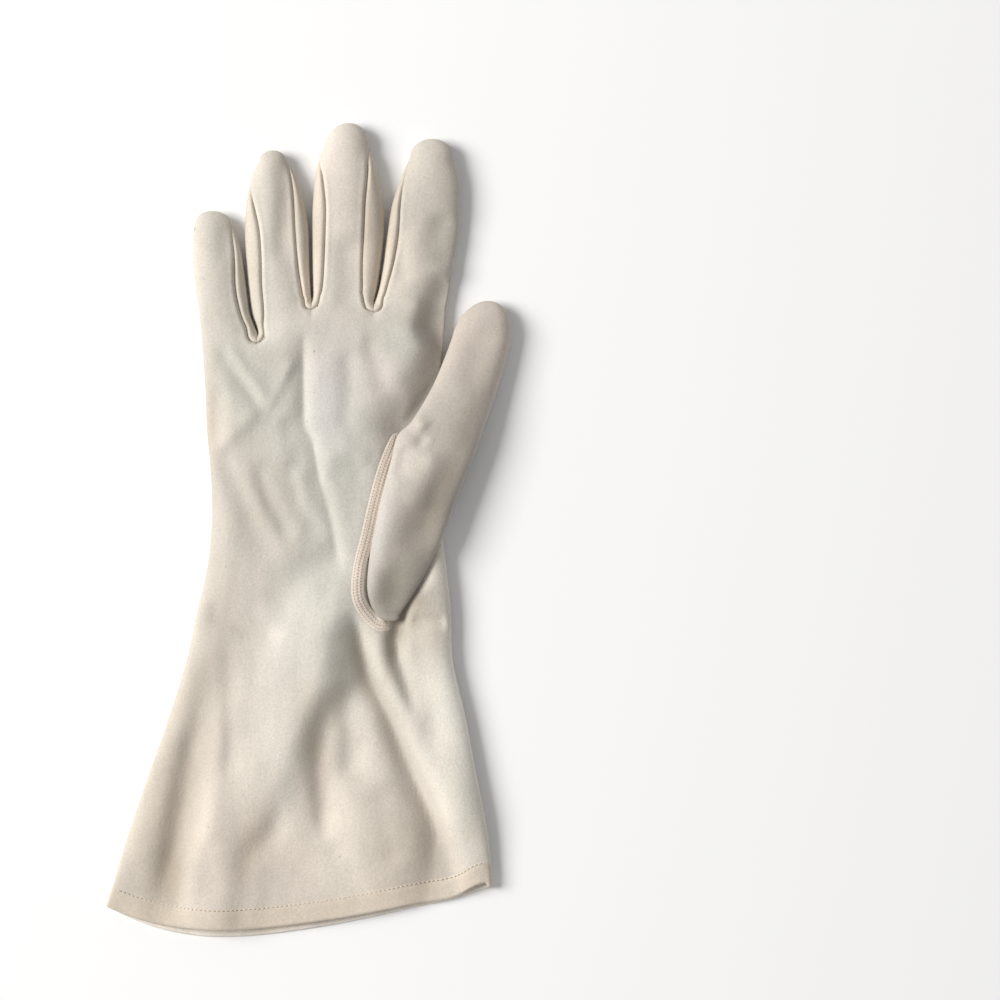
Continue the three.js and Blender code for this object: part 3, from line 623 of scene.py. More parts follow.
def outline():
    """The whole outline, past the hem as well, where the glove stays open."""
    hand = hand_net(1)
    left, right = hand[:, 0], hand[:, -1]
    ends = np.array([0.0, 1.0])
    lines = [mirrored(left[-1], left[0])[None], left]
    for finger in range(len(FINGERS)):
        cap = cap_net(finger, ends)
        lines += [finger_side(finger, "left"), cap[:, 0], cap[::-1, 1]]
        lines.append(finger_side(finger, "right")[::-1])
    lines += [right[::-1], mirrored(right[-1], right[0])[None]]
    return np.concatenate(lines)


# Heights

def soft_distance(points):
    """Distance to the outline, with no ridge where two sides are equally near."""
    smallest = 0.02
    chunk_size = 2000
    a, b = OUTLINE[:-1], OUTLINE[1:]
    length = np.linalg.norm(b - a, axis=1)
    a, b, length = (values[length > smallest] for values in (a, b, length))
    way = (b - a) / length[:, None]

    def term(reach, off):
        return reach / (2 * off**2 * (reach**2 + off**2)) + np.arctan(reach / off) / (2 * off**3)

    result = []
    for chunk in np.array_split(points, len(points) // chunk_size + 1):
        dx = chunk[:, None, 0] - a[None, :, 0]
        dy = chunk[:, None, 1] - a[None, :, 1]
        along = dx * way[:, 0] + dy * way[:, 1]
        off = np.maximum(np.abs(dx * way[:, 1] - dy * way[:, 0]), smallest)
        total = (term(along, off) + term(length - along, off)).sum(axis=1)
        result.append(np.cbrt(math.pi / 2 / total))
    return np.concatenate(result)


def shoulder(t):
    """Quarter round from 0 to 1."""
    return np.sqrt(1 - (1 - np.clip(t, 0, 1)) ** 2)


def crown_at(y):
    ys = np.array([row.y for row in CROWN])
    heights = np.array([row.height for row in CROWN])
    at = np.clip(np.searchsorted(ys, y, side="right"), 1, len(ys) - 1)
    share = (y - ys[at - 1]) / (ys[at] - ys[at - 1])
    return heights[at - 1] + (heights[at] - heights[at - 1]) * share**2 * (3 - 2 * share)


def fold_rise(folds, points, power=FOLD_POWER):
    """How far the folds lift the cloth at the points."""
    total = np.zeros(len(points))
    sway = np.stack([ripple(points, FOLD_SWAY.length, seed) for seed in FOLD_SWAY.seeds], -1)
    swayed = points + FOLD_SWAY.reach * sway
    for fold in folds:
        off, at = nearest(fold.line, swayed)
        width = np.where(off > 0, fold.east, fold.west)
        reach = travelled(fold.line)
        along = np.interp(at, np.arange(len(reach)), reach)
        end = min(FOLD_END.share * reach[-1], FOLD_END.longest)
        fade = smoothstep(0, end, along) * smoothstep(0, end, reach[-1] - along)
        total += fold.rise * fade * np.exp(-np.abs(off / width) ** power / 2)
    return total * (1 + ripples(points, FOLDS_WAVER))


def palm_folds(points):
    return fold_rise(FOLDS, points) + fold_rise(CREASES, points, CREASE_POWER)


def edge_at(points):
    """Height of the fold between palm and back, which wavers a little."""
    return EDGE_HEIGHT + ripples(points, EDGE_WAVER)


def thumb_bed(points):
    """Highest that the palm may be under and beside the thumb."""
    rows = THUMB[:BED_ROWS]
    axis = [(left_of(row) + right_of(row)) / 2 for row in rows]
    half_widths = [np.linalg.norm(right_of(row) - left_of(row)) / 2 for row in rows]
    away, at = nearest(axis, points)
    half = np.interp(at, np.arange(len(rows)), half_widths)
    lowest = BED_HEIGHT - BED_DROP * smoothstep(*BED_LEAVING, at)
    return lowest + BED_SLOPE * np.maximum(0, np.abs(away) - half)


def soft_min(a, b, blend):
    return (a + b - np.hypot(a - b, blend)) / 2


def palm_height(points):
    points = np.asarray(points, float)
    edge = edge_at(points)
    away = soft_distance(points)
    fingers = smoothstep(FINGERS_FROM, FINGERS_FULL, points[:, 1])
    rounding = PALM_ROUNDING + (FINGER_ROUNDING - PALM_ROUNDING) * fingers
    rumple = ripples(points, RUMPLE) * smoothstep(*RUMPLE_FROM_EDGE, away)
    folds = PALM_FOLDS_DEPTH * palm_folds(points)
    rise = crown_at(points[:, 1]) - edge + folds + rumple
    height = soft_min(edge + rise * shoulder(away / rounding), thumb_bed(points), BED_BLEND)
    return -soft_min(-height, -LOWEST_PALM, BED_BLEND)


def back_height(points):
    points = np.asarray(points, float)
    away = soft_distance(points)
    dents = np.maximum(0, ripple(points, BACK_DENTS.length, BACK_DENTS.seed) - BACK_DENTS.above)
    dents = dents * BACK_DENTS.height * smoothstep(*BACK_DENTS.from_edge, away)
    return edge_at(points) * (1 - shoulder(away / BACK_ROUNDING)) + dents


# Seams beside the fourchettes: their lines, and how deep each is along its length

def slot_seams():
    seams = []
    for finger in range(len(FINGERS) - 1):
        parts = []
        for number, side, share in ((finger, "right", 1.0), (finger + 1, "left", 0.0)):
            end = strip_end(number, side)
            seam = panel_net(number, np.array([share]))[: end + 1, 0]
            width = np.linalg.norm(seam - finger_side(number, side)[: end + 1], axis=1)
            from_root = np.linalg.norm(seam - seam[0], axis=1)
            grown = ROOT_SEAM + (1 - ROOT_SEAM) * smoothstep(0, ROOT_FADE, from_root)
            parts.append((seam, np.minimum(1, width / FULL_SEAM_WIDTH) * grown))
        (right_seam, right_depth), (left_seam, left_depth) = parts
        line = np.concatenate([right_seam[::-1], left_seam[1:]])
        depth = np.concatenate([right_depth[::-1], left_depth[1:]])
        seams.append(SimpleNamespace(line=line, depth=depth))
    return seams


def seam_near(points):
    """Distance to the nearest seam of a fourchette and that seam's depth there."""
    away = np.full(len(points), 1e3)
    depth = np.zeros(len(points))
    close = points[:, 1] > FINGERS_FROM
    for seam in SEAMS:
        off, at = nearest(seam.line, points[close])
        better = np.abs(off) < away[close]
        where = np.flatnonzero(close)[better]
        away[where] = np.abs(off)[better]
        depth[where] = np.interp(at[better], np.arange(len(seam.depth)), seam.depth)
    return away, depth


def palm_panel_height(points):
    """The palm rolls up beside a fourchette's seam and down into it."""
    away, depth = seam_near(points)
    roll = SEAM_ROLL.height * hump(away, SEAM_ROLL.at, SEAM_ROLL.width)
    roll -= SEAM_GROOVE.depth * hump(away, 0, SEAM_GROOVE.width)
    return palm_height(points) + depth * roll


def back_panel_height(points):
    away, depth = seam_near(points)
    return back_height(points) + depth * BACK_SEAM.depth * hump(away, 0, BACK_SEAM.width)


# Cloth as a mesh

def raised(xy, heights):
    return np.concatenate([xy, heights.reshape(*xy.shape[:-1], 1)], axis=-1)


def surface(net, height):
    return raised(net, height(net.reshape(-1, 2)))


class Cloth:
    """A sheet of cloth: grids of points on its outer face, its wall, and faces that face out."""

    def __init__(self):
        self.points = np.zeros((0, 3))
        self.walls = np.zeros(0)
        self.quads = np.zeros((0, 4), int)

    def add(self, points, wall=WALL):
        """Adds a grid of points and gives the grid of their numbers."""
        flat = points.reshape(-1, 3)
        numbers = len(self.points) + np.arange(len(flat)).reshape(points.shape[:-1])
        self.points = np.concatenate([self.points, flat])
        self.walls = np.concatenate([self.walls, np.broadcast_to(wall, numbers.shape).ravel()])
        return numbers

    def fill(self, numbers):
        """Fills a grid of point numbers, seen from outside with its columns left to right."""
        corners = [numbers[:-1, :-1], numbers[:-1, 1:], numbers[1:, 1:], numbers[1:, :-1]]
        self.quads = np.concatenate([self.quads, np.stack(corners, -1).reshape(-1, 4)])

    def cut(self, is_inside):
        """Leaves out the faces whose centre is inside, as a test of points says."""
        centres = self.points[self.quads].mean(axis=1)
        self.quads = self.quads[~is_inside(centres)]

    def normals(self):
        a, b, c, d = (self.points[self.quads[:, i]] for i in range(4))
        way = np.cross(c - a, d - b)
        total = np.zeros_like(self.points)
        for i in range(4):
            np.add.at(total, self.quads[:, i], way)
        return total / np.maximum(np.linalg.norm(total, axis=1), 1e-12)[:, None]

    def thicken(self):
        """The closed body: outer face, inner face and a rounded rim along every free edge."""
        count = len(self.points)
        normals = self.normals()
        inner = self.points - normals * self.walls[:, None]
        edges = np.stack([self.quads, np.roll(self.quads, -1, axis=1)], -1).reshape(-1, 2)
        edges = edges[edges[:, 0] != edges[:, 1]]
        codes = edges[:, 0] * count + edges[:, 1]
        free = edges[~np.isin(codes, edges[:, 1] * count + edges[:, 0])]
        out = np.zeros_like(self.points)
        way = self.points[free[:, 1]] - self.points[free[:, 0]]
        for end in (0, 1):
            np.add.at(out, free[:, end], np.cross(way, normals[free[:, end]]))
        rim = np.unique(free)
        outward = out[rim] / np.maximum(np.linalg.norm(out[rim], axis=1), 1e-12)[:, None]
        rim_points = (self.points[rim] + inner[rim]) / 2 + outward * self.walls[rim, None] / 2
        rim_number = np.zeros(count, int)
        rim_number[rim] = 2 * count + np.arange(len(rim))
        a, b = free[:, 0], free[:, 1]
        outer_rim = np.stack([b, a, rim_number[a], rim_number[b]], -1)
        inner_rim = np.stack([rim_number[b], rim_number[a], a + count, b + count], -1)
        inner_faces = self.quads[:, ::-1] + count
        points = np.concatenate([self.points, inner, rim_points])
        return points, np.concatenate([self.quads, inner_faces, outer_rim, inner_rim])


def make_object(name, points, quads, material, areas):
    """A smooth mesh object that rides on the glove's one body."""
    used, numbers = np.unique(quads, return_inverse=True)
    quads = numbers.reshape(quads.shape)
    faces = [list(dict.fromkeys(quad)) for quad in quads.tolist()]
    mesh = bpy.data.meshes.new(name)
    mesh.from_pydata((points[used] * MM).tolist(), [], [f for f in faces if len(f) > 2])
    mesh.shade_smooth()
    mesh.materials.append(material)
    paint(mesh, points[used], areas)
    piece = bpy.data.objects.new(name, mesh)
    bpy.context.scene.collection.objects.link(piece)
    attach(piece, "root")
    return piece


# Pieces

def hem_walls(rows, columns):
    """The hem is turned up, so its wall is double below the stitches."""
    hem_rows = hand_steps()[0]
    walls = np.full((rows, columns), WALL)
    walls[: hem_rows + 1] = HEM_WALL
    return walls


def hem_relief(net):
    """Groove under the hem's stitches and the step up onto the turned cloth."""
    depth = from_first_row(net)
    groove = -HEM_GROOVE.depth * hump(depth, HEM_DEPTH, HEM_GROOVE.width)
    step_ends = HEM_DEPTH - HEM_STEP.before, HEM_DEPTH + HEM_STEP.after
    return groove + HEM_STEP.height * (1 - smoothstep(*step_ends, depth))


def in_thumb_hole(centres):
    across, along = across_and_along(centres, THUMB_HOLE)
    inside = np.hypot(across / THUMB_HOLE.width, along / THUMB_HOLE.length) < 0.5
    return inside & (centres[:, 2] > EDGE_HEIGHT)


def add_hand(cloth):
    top_net, back_net = hand_net(1), hand_net(BACK_BOW)
    walls = hem_walls(*top_net.shape[:2])
    top = surface(top_net, palm_panel_height)
    top[..., 2] += hem_relief(top_net)
    back = surface(back_net, back_panel_height)
    for column in (0, -1):
        top[:, column, 2] = edge_at(top_net[:, column])
    top_numbers = cloth.add(top, walls)
    back_numbers = cloth.add(back[:, 1:-1], walls[:, 1:-1])
    back_numbers = np.concatenate([top_numbers[:, :1], back_numbers, top_numbers[:, -1:]], axis=1)
    cloth.fill(top_numbers)
    cloth.fill(back_numbers[:, ::-1])
    return top_numbers[-1], back_numbers[-1]


def add_finger(cloth, finger, root_top, root_back):
    """A finger's two panels, joined round the tip and wherever no fourchette lies between them."""
    net = panel_net(finger, column_shares())
    top = surface(net, palm_panel_height)[1:-1]
    back = surface(net, back_panel_height)[1:-1]
    last = len(FINGERS) - 1
    fold_from = [
        0 if finger == 0 else strip_end(finger, "left"),
        0 if finger == last else strip_end(finger, "right"),
    ]
    top_numbers = cloth.add(top)
    back_numbers = cloth.add(back)
    for column, start in zip((0, -1), fold_from):
        rows = slice(max(start - 1, 0), None)
        cloth.points[top_numbers[rows, column], 2] = edge_at(net[1:-1][rows, column])
        back_numbers[rows, column] = top_numbers[rows, column]
    tip_xy = np.array([FINGERS[finger].tip])
    tip = cloth.add(raised(tip_xy, edge_at(tip_xy)))
    tip_row = np.full((1, net.shape[1]), tip[0])
    cloth.fill(np.concatenate([root_top[None], top_numbers, tip_row]))
    cloth.fill(np.concatenate([root_back[None], back_numbers, tip_row])[:, ::-1])


def make_trank(material):
    cloth = Cloth()
    root_top, root_back = add_hand(cloth)
    for finger in range(len(FINGERS)):
        part = slice(finger * COLUMNS, (finger + 1) * COLUMNS + 1)
        add_finger(cloth, finger, root_top[part], root_back[part])
    cloth.cut(in_thumb_hole)
    piece = make_object("trank_cloth", *cloth.thicken(), material, TONES_AND_PAINTED_SHADING)
    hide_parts("trank")
    return piece


def make_fourchette(strip, material):
    """A strip tucked under the palm's seam, round the side of the finger and under the back's."""
    end = strip_end(strip.finger, strip.side)
    share = np.array([0.0 if strip.side == "left" else 1.0])
    seam = panel_net(strip.finger, share)[:end, 0]
    fold = finger_side(strip.finger, strip.side)[:end]
    clear = np.zeros_like(seam)
    clear[0, 0] = STRIP_CLEAR if strip.side == "left" else -STRIP_CLEAR
    width = np.linalg.norm(fold - seam, axis=1)[:, None]
    depth = np.minimum(1, width / FULL_SEAM_WIDTH)
    shares = np.linspace(0, 1, STRIP_COLUMNS + 1)[None] ** STRIP_CROWDING
    offs = np.concatenate([-STRIP_TUCK * depth, -STRIP_TUCK / 2 * depth, width * shares], axis=1)
    net = (seam + clear)[:, None] + (fold - seam)[:, None] * (offs / width)[..., None]
    from_seam = np.maximum(offs, 0)
    sunk = STRIP_SUNK * hump(from_seam, 0, STRIP_SINK_WIDTH)
    round_off = np.sin(np.pi * np.clip(offs / width, 0, 1))
    bulge = STRIP_BULGE.height * round_off**STRIP_BULGE.power
    under = np.where(offs < 0, STRIP_UNDER - STRIP_SUNK, 0)
    at_seam = np.repeat(seam[:, None], 2, axis=1)
    visible = net.copy()
    visible[:, :2] = at_seam
    top = raised(net, palm_height(visible.reshape(-1, 2)).reshape(offs.shape))
    top[..., 2] += depth * (bulge - sunk - under)
    back = raised(net, back_height(visible.reshape(-1, 2)).reshape(offs.shape))
    back_lift = STRIP_BACK.at_seam * hump(from_seam, 0, STRIP_BACK.width) + STRIP_BACK.lift
    back[..., 2] += depth * back_lift
    for layer in (top, back):
        layer[:, -1, 2] = edge_at(fold)
    section = np.concatenate([top, back[:, -2::-1]], axis=1)
    cloth = Cloth()
    walls = np.broadcast_to(np.minimum(WALL, width * STRIP_WALL_SHARE), section.shape[:-1])
    numbers = cloth.add(section, walls)
    beyond = finger_side(strip.finger, strip.side)[end : end + 1]
    tip_xy = beyond * STRIP_TIP.past + fold[-1:] * (1 - STRIP_TIP.past)
    tip = cloth.add(raised(tip_xy, edge_at(tip_xy)), STRIP_TIP.wall)
    numbers = np.concatenate([numbers, np.full((1, numbers.shape[1]), tip[0])])
    cloth.fill(numbers if strip.side == "right" else numbers[:, ::-1])
    piece = make_object(strip.node + "_cloth", *cloth.thicken(), material, TONES_AND_PAINTED_SHADING)
    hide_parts(strip.node)
    return piece


def thumb_end(station, point, height, turn):
    """A row that rounds off an end of the thumb."""
    left, right, floor, crest, tilt, edge = station
    narrow = math.cos(turn)
    centre = (left + right) / 2
    centre = centre + (np.array(point) - centre) * math.sin(turn)
    half = (right - left) / 2 * narrow
    low, high = height + (floor - height) * narrow, height + (crest - height) * narrow
    return centre - half, centre + half, low, high, tilt * narrow, edge


def thumb_stations():
    """Rows of the thumb at an even pitch: both sides, floor, crest, tilt and height of its folds."""
    values = [
        [r.left_x, r.left_y, r.right_x, r.right_y, r.floor, r.crest, r.tilt, r.edge] for r in THUMB
    ]
    rows = smooth_path(values, THUMB_ROW_PITCH)
    stations = [(row[:2], row[2:4], *row[4:]) for row in rows]
    base, tip = [], []
    for i in range(1, CAP_ROWS):
        turn = i / CAP_ROWS * math.pi / 2
        base.insert(0, thumb_end(stations[0], THUMB_BASE, THUMB_END_HEIGHT.base, turn))
        tip.append(thumb_end(stations[-1], THUMB_TIP, THUMB_END_HEIGHT.tip, turn))
    return [*base, *stations, *tip]


def make_thumb(material):
    across = -np.cos(np.linspace(0, math.pi, THUMB_COLUMNS + 1))
    power = np.where(across < 0, *THUMB_CREST_POWERS)
    bulge = np.maximum(0, 1 - np.abs(across) ** power) ** 0.5
    sag = np.maximum(0, 1 - across**THUMB_SAG_POWER) ** (1 / THUMB_SAG_POWER)
    top, back = [], []
    for left, right, floor, crest, tilt, edge in thumb_stations():
        xy = between(left, right, (across + 1) / 2)
        fold = floor + (crest - floor) * (edge + (THUMB_RIGHT_EDGE - edge) * (across + 1) / 2)
        dents = THUMB_FOLDS_DEPTH * fold_rise(THUMB_FOLDS, xy) + ripples(xy, THUMB_RUMPLE)
        dents *= bulge
        lean = -tilt * across
        top.append(raised(xy, fold + (crest - fold) * bulge + lean + dents))
        back.append(raised(xy, fold - (fold - floor) * sag + lean))
    cloth = Cloth()
    top_numbers = cloth.add(np.array(top))
    back_numbers = cloth.add(np.array(back))
    back_numbers[:, [0, -1]] = top_numbers[:, [0, -1]]
    ends = [[*THUMB_BASE, THUMB_END_HEIGHT.base], [*THUMB_TIP, THUMB_END_HEIGHT.tip]]
    first, last = cloth.add(np.array(ends))
    for numbers, side in ((top_numbers, 1), (back_numbers, -1)):
        rows = [np.full((1, len(across)), first), numbers, np.full((1, len(across)), last)]
        cloth.fill(np.concatenate(rows)[:, ::side])
    cloth.cut(lambda centres: in_thumb_hole(centres) & (centres[:, 2] < THUMB_OPEN_BELOW))
    piece = make_object("thumb_cloth", *cloth.thicken(), material, THUMB_TONES_AND_PAINTED_SHADING)
    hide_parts("thumb")
    return piece


def offset_line(line, distance):
    """The line moved to its left by that distance."""
    way = np.gradient(line, axis=0)
    way /= np.linalg.norm(way, axis=1)[:, None]
    return line + np.stack([-way[:, 1], way[:, 0]], -1) * distance[:, None]


def make_band(material):
    """The low rounded band along the thumb's seam, and the lines of its stitches."""
    border = smooth_path(BAND_BORDER, BAND.pitch)
    reach = travelled(border)
    full = smoothstep(0, BAND.taper, np.minimum(reach, reach[-1] - reach))
    width = BAND.width * (BAND.end_share + (1 - BAND.end_share) * full)
    shares = np.linspace(0, 1, BAND.columns + 1)
    net = np.stack([offset_line(border, width * share) for share in shares], axis=1)
    dome = BAND.height * (1 - np.abs(2 * shares - 1) ** BAND.roundness)
    ridges = BAND.ridge * np.cos(shares * math.pi * 2 * BAND.ridges)
    from_end = np.minimum(np.arange(len(net)), np.arange(len(net))[::-1])
    ends = np.minimum(1, from_end / BAND.sunk_rows)[:, None]
    face = surface(net, palm_height)
    face[..., 2] = face[:, :1, 2] + BAND.follow * (face[..., 2] - face[:, :1, 2])
    face[..., 2] += (dome + ridges - BAND.inset) * ends - BAND.sink * (1 - ends)
    under = surface(net, palm_height)
    under[..., 2] -= BAND.sink
    cloth = Cloth()
    top_numbers, under_numbers = cloth.add(face), cloth.add(under)
    cloth.fill(top_numbers)
    cloth.fill(under_numbers[:, ::-1])
    for a, b in (
        (under_numbers[:, 0], top_numbers[:, 0]),
        (top_numbers[:, -1], under_numbers[:, -1]),
    ):
        cloth.fill(np.stack([a, b], axis=1))
    for a, b in (
        (under_numbers[0], top_numbers[0]),
        (top_numbers[-1], under_numbers[-1]),
    ):
        cloth.fill(np.stack([a, b]))
    piece = make_object("thumb_seam_band", cloth.points, cloth.quads, material, BAND_TONES)
    sewn = face[BAND.sunk_rows : -BAND.sunk_rows] + UP * BAND_STITCH.lift
    return piece, [sewn[:, column] for column in BAND_STITCH_COLUMNS]


def stitches_along(line, stitch):
    """Middles and directions of the stitches along a line of points in space."""
    reach = travelled(line)
    middles = np.arange(stitch.start, reach[-1], stitch.pitch)

    def at(distance):
        return np.stack([np.interp(distance, reach, line[:, i]) for i in range(3)], -1)

    ends = at(middles + stitch.length / 2) - at(middles - stitch.length / 2)
    return at(middles), ends / np.linalg.norm(ends, axis=1)[:, None]


def make_stitches(name, lines, stitch, material):
    """Rows of thread loops, each a small rounded bar that lies on the cloth; the same bars in a dark
    colour are the painted shade of the needle holes.
    """
    cloth = Cloth()
    rings = np.linspace(-1, 1, STITCH_FORM.rings)
    thick = np.maximum(STITCH_FORM.blunt, 1 - np.abs(rings) ** STITCH_FORM.roundness) ** 0.5
    turns = np.linspace(0, 2 * math.pi, STITCH_FORM.sides + 1)
    for line in lines:
        for middle, way in zip(*stitches_along(line, stitch)):
            side = np.cross(way, UP)
            side = side / np.linalg.norm(side)
            above = np.cross(side, way)
            round_ = np.cos(turns)[:, None] * side + np.sin(turns)[:, None] * above
            arch = above * (1 - rings[:, None] ** 2) * stitch.radius * STITCH_FORM.arch
            spine = middle + way * rings[:, None] * stitch.length / 2 + arch
            tube = spine[:, None] + round_[None] * (thick * stitch.radius)[:, None, None]
            numbers = cloth.add(tube)
            numbers[:, -1] = numbers[:, 0]
            cloth.fill(numbers)
            for ring, flip in ((numbers[0, :-1], 1), (numbers[-1, :-1], -1)):
                half = ring[::flip]
                cloth.fill(np.array([half[[0, 1, 2, 3, 4]], half[[0, 7, 6, 5, 4]]]))
    piece = make_object(name, cloth.points, cloth.quads, material, [])
    return piece


def hem_line(bow_factor, height, lift):
    """The line of the hem's stitches on the palm side or on the back."""
    net = hand_net(bow_factor)[:, HEM_UNSEWN:-HEM_UNSEWN]
    depth = from_first_row(net)
    columns = range(net.shape[1])
    line = [[np.interp(HEM_DEPTH, depth[:, c], net[:, c, i]) for i in (0, 1)] for c in columns]
    line = np.array(line)
    return raised(line, height(line) + lift)


# Colours, in sRGB: the cloth's own, and soft lighter or darker patches; some are soiling and uneven
# colour, many are painted shade and painted highlights beside folds, creases, edges and the thumb

def linear(colour):
    value = np.array(colour, float) / 255
    return np.where(value <= 0.04045, value / 12.92, ((value + 0.055) / 1.055) ** 2.4)


CLOTH_TONE = (214, 206, 195)
AREA = "x y long wide turn colour strength"
TONES_AND_PAINTED_SHADING = table(
    AREA,
    (8, 30, 40, 30, 0, (199, 198, 189), 0.8),
    (5, -32, 30, 16, 0.2, (203, 204, 195), 0.7),
    (-15, -120, 26, 50, 0, (216, 204, 190), 0.7),
    (49, -16, 9, 6, 0, (240, 233, 220), 0.8),
    (30, -48, 16, 6, 0.42, (216, 208, 194), 0.7),
    # painted shadow of the thumb's base on the palm below and to the right of it, in this row and the
    # next two
    (34, -37.5, 3.5, 2.6, 0.2, (104, 94, 80), 0.9),
    (41, -34, 7, 9, 0, (174, 163, 147), 0.8),
    (41.5, -27, 4, 3, -0.5, (150, 138, 122), 0.7),
    (10.5, -36, 7, 5, 0, (240, 236, 226), 0.7),
    (11.5, -77, 12, 4, 0.1, (174, 165, 149), 0.7),
    # painted light on the fourchettes that face away from the light, in this row and the next
    (26, 94, 9, 2.6, 0, (255, 242, 226), 0.8),
    (-1.2, 91, 7, 2.2, 0, (255, 242, 226), 0.8),
    (-9.5, 31, 7, 2.6, 0, (242, 238, 228), 0.7),
    (-57, -120, 12, 3.5, -0.25, (238, 228, 212), 0.6),
    # painted shade on the dark side of the crease beside the thumb's base
    (30.3, -45, 6, 2.2, 0.1, (134, 124, 109), 0.65),
    # painted light along the right edge, where its rounding turns away from the light
    (55, -62, 22, 4.5, 0.12, (255, 250, 240), 0.9),
    (44, -44, 8, 5, 0, (216, 206, 192), 0.8),
    (21, -84, 14, 7, 0, (238, 229, 216), 0.8),
    (-5, -88, 14, 8, -0.3, (233, 226, 214), 0.7),
    (-38, -88, 14, 6, -0.2, (208, 197, 184), 0.5),
    (-30, -36, 12, 8, 0, (222, 214, 200), 0.5),
    (-1, -40, 12, 9, 0, (224, 220, 211), 0.6),
    (-30, 8, 14, 8, 0, (190, 184, 176), 0.7),
    # painted shade along a fold on the left of the cuff
    (-50, -104, 20, 2.6, -0.25, (186, 173, 155), 0.5),
    (56, -96, 32, 6, 0.28, (244, 239, 226), 0.8),
    (-2, -62, 32, 11, -0.35, (220, 214, 202), 0.8),
    (38, 80, 16, 9, 0.3, (196, 190, 179), 0.5),
    (-20, 0, 22, 18, 0, (208, 198, 187), 0.6),
    (42, 118, 40, 18, 0, (196, 189, 177), 0.7),
    (10, 118, 34, 14, 0, (208, 199, 187), 0.5),
    (-14, 128, 18, 12, 0, (197, 190, 178), 0.5),
    (-35, 96, 24, 12, 0, (204, 200, 188), 0.6),
    # painted shade along the palm's left edge, tempering the light that falls on that side
    (-38, 10, 60, 9, 0, (198, 191, 181), 0.8),
    (-50, -80, 50, 12, -0.3, (201, 191, 177), 0.7),
    (-52, -110, 22, 6, -0.2, (198, 186, 170), 0.5),
    (-51, -130, 10, 4, -0.2, (178, 165, 147), 0.75),
    # painted shade on the dark side of a fold in the middle of the cuff
    (2, -84, 14, 3.5, 0.1, (176, 166, 150), 0.6),
    (38, 69, 9, 9, 0, (162, 155, 144), 0.8),
    (15, 139, 8, 8, 0, (228, 217, 206), 0.6),
    (35, -124, 14, 16, 0, (202, 191, 176), 0.7),
    # painted shade on the dark side of the cuff's long crease, near the hem
    (44, -122, 13, 3.6, 0.36, (188, 177, 160), 0.4),
    (13, -121, 12, 9, 0, (244, 234, 220), 0.7),
    (-35.5, 42, 10, 2.6, 0, (200, 182, 168), 0.6),
    # painted shade where the palm slopes away from the light beside the thumb
    (43, 54, 22, 7, -0.5, (160, 151, 140), 0.85),
    (32, 100, 10, 6, 0.2, (214, 203, 190), 0.6),
    (34, 62, 14, 9, 0, (215, 209, 201), 0.6),
    (-29, 57, 12, 8, 0.4, (197, 196, 185), 0.6),
    (-12, 66, 8, 9, 0, (210, 204, 194), 0.5),
    (10, 62, 12, 9, 0, (214, 206, 200), 0.6),
    (8.5, 45, 12, 5, 0, (214, 211, 208), 0.5),
    (27, 55, 6, 5, 0, (214, 203, 196), 0.5),
    (34, 70, 6, 5, 0.3, (196, 195, 184), 0.5),
    (3, -89, 12, 3.5, -0.2, (200, 186, 173), 0.5),
    (-21, -119, 12, 4, -0.35, (200, 184, 165), 0.5),
    # painted shade on the dark side of the cuff's long crease, in this row and the next two
    (18.2, -46, 7, 2.2, 0.25, (138, 130, 118), 0.6),
    (22.5, -59, 9, 2.6, 0.36, (156, 147, 134), 0.6),
    (31.5, -80, 14, 2.8, 0.38, (164, 154, 140), 0.6),
    # painted shade on the right sides of the ring and middle fingers and painted light on their left
    # sides, in this row and the next three
    (-8, 116, 16, 3, 0, (186, 177, 166), 0.6),
    (-14.5, 112, 14, 3.5, 0, (228, 220, 208), 0.6),
    (20.5, 116, 16, 3, 0, (188, 177, 165), 0.6),
    (8, 112, 14, 3.5, 0, (230, 221, 208), 0.5),
    # painted shade on the dark side of the palm's long crease
    (-3.5, 38, 26, 2.2, 0.05, (190, 186, 176), 0.5),
    (20, 56, 12, 3.5, 0, (194, 189, 180), 0.5),
    # painted shade along the fold by the palm's left edge
    (-36.5, 45, 18, 2.5, 0, (184, 176, 164), 0.5),
)
SPECKS = table(
    "x y radius strength",
    (2.5, 66.0, 0.7, 0.4),
    (2.5, 50.6, 0.5, 0.35),
    (-8.0, 57.4, 0.5, 0.3),
    (-0.1, 39.8, 0.5, 0.35),
    (-30.5, -14.3, 0.6, 0.3),
    (-36.8, -111.4, 0.6, 0.3),
    (11.9, -123.0, 0.7, 0.35),
    (-24.5, -41.0, 0.5, 0.25),
    (24.0, 12.5, 0.45, 0.3),
    (12.0, 117.5, 0.5, 0.3),
    (-38.7, 93.0, 0.6, 0.25),
    (-42.5, 112.0, 1.1, 0.5),
    (43.5, 131.0, 0.5, 0.3),
    (-2.0, -60.0, 0.45, 0.25),
)
THUMB_SPECKS = table("x y radius strength", (61.0, 43.1, 0.9, 0.65), (52.0, 22.0, 0.5, 0.3))
BAND_TONES = table(AREA, (28, 0, 60, 30, 0, (228, 218, 207), 1.0))
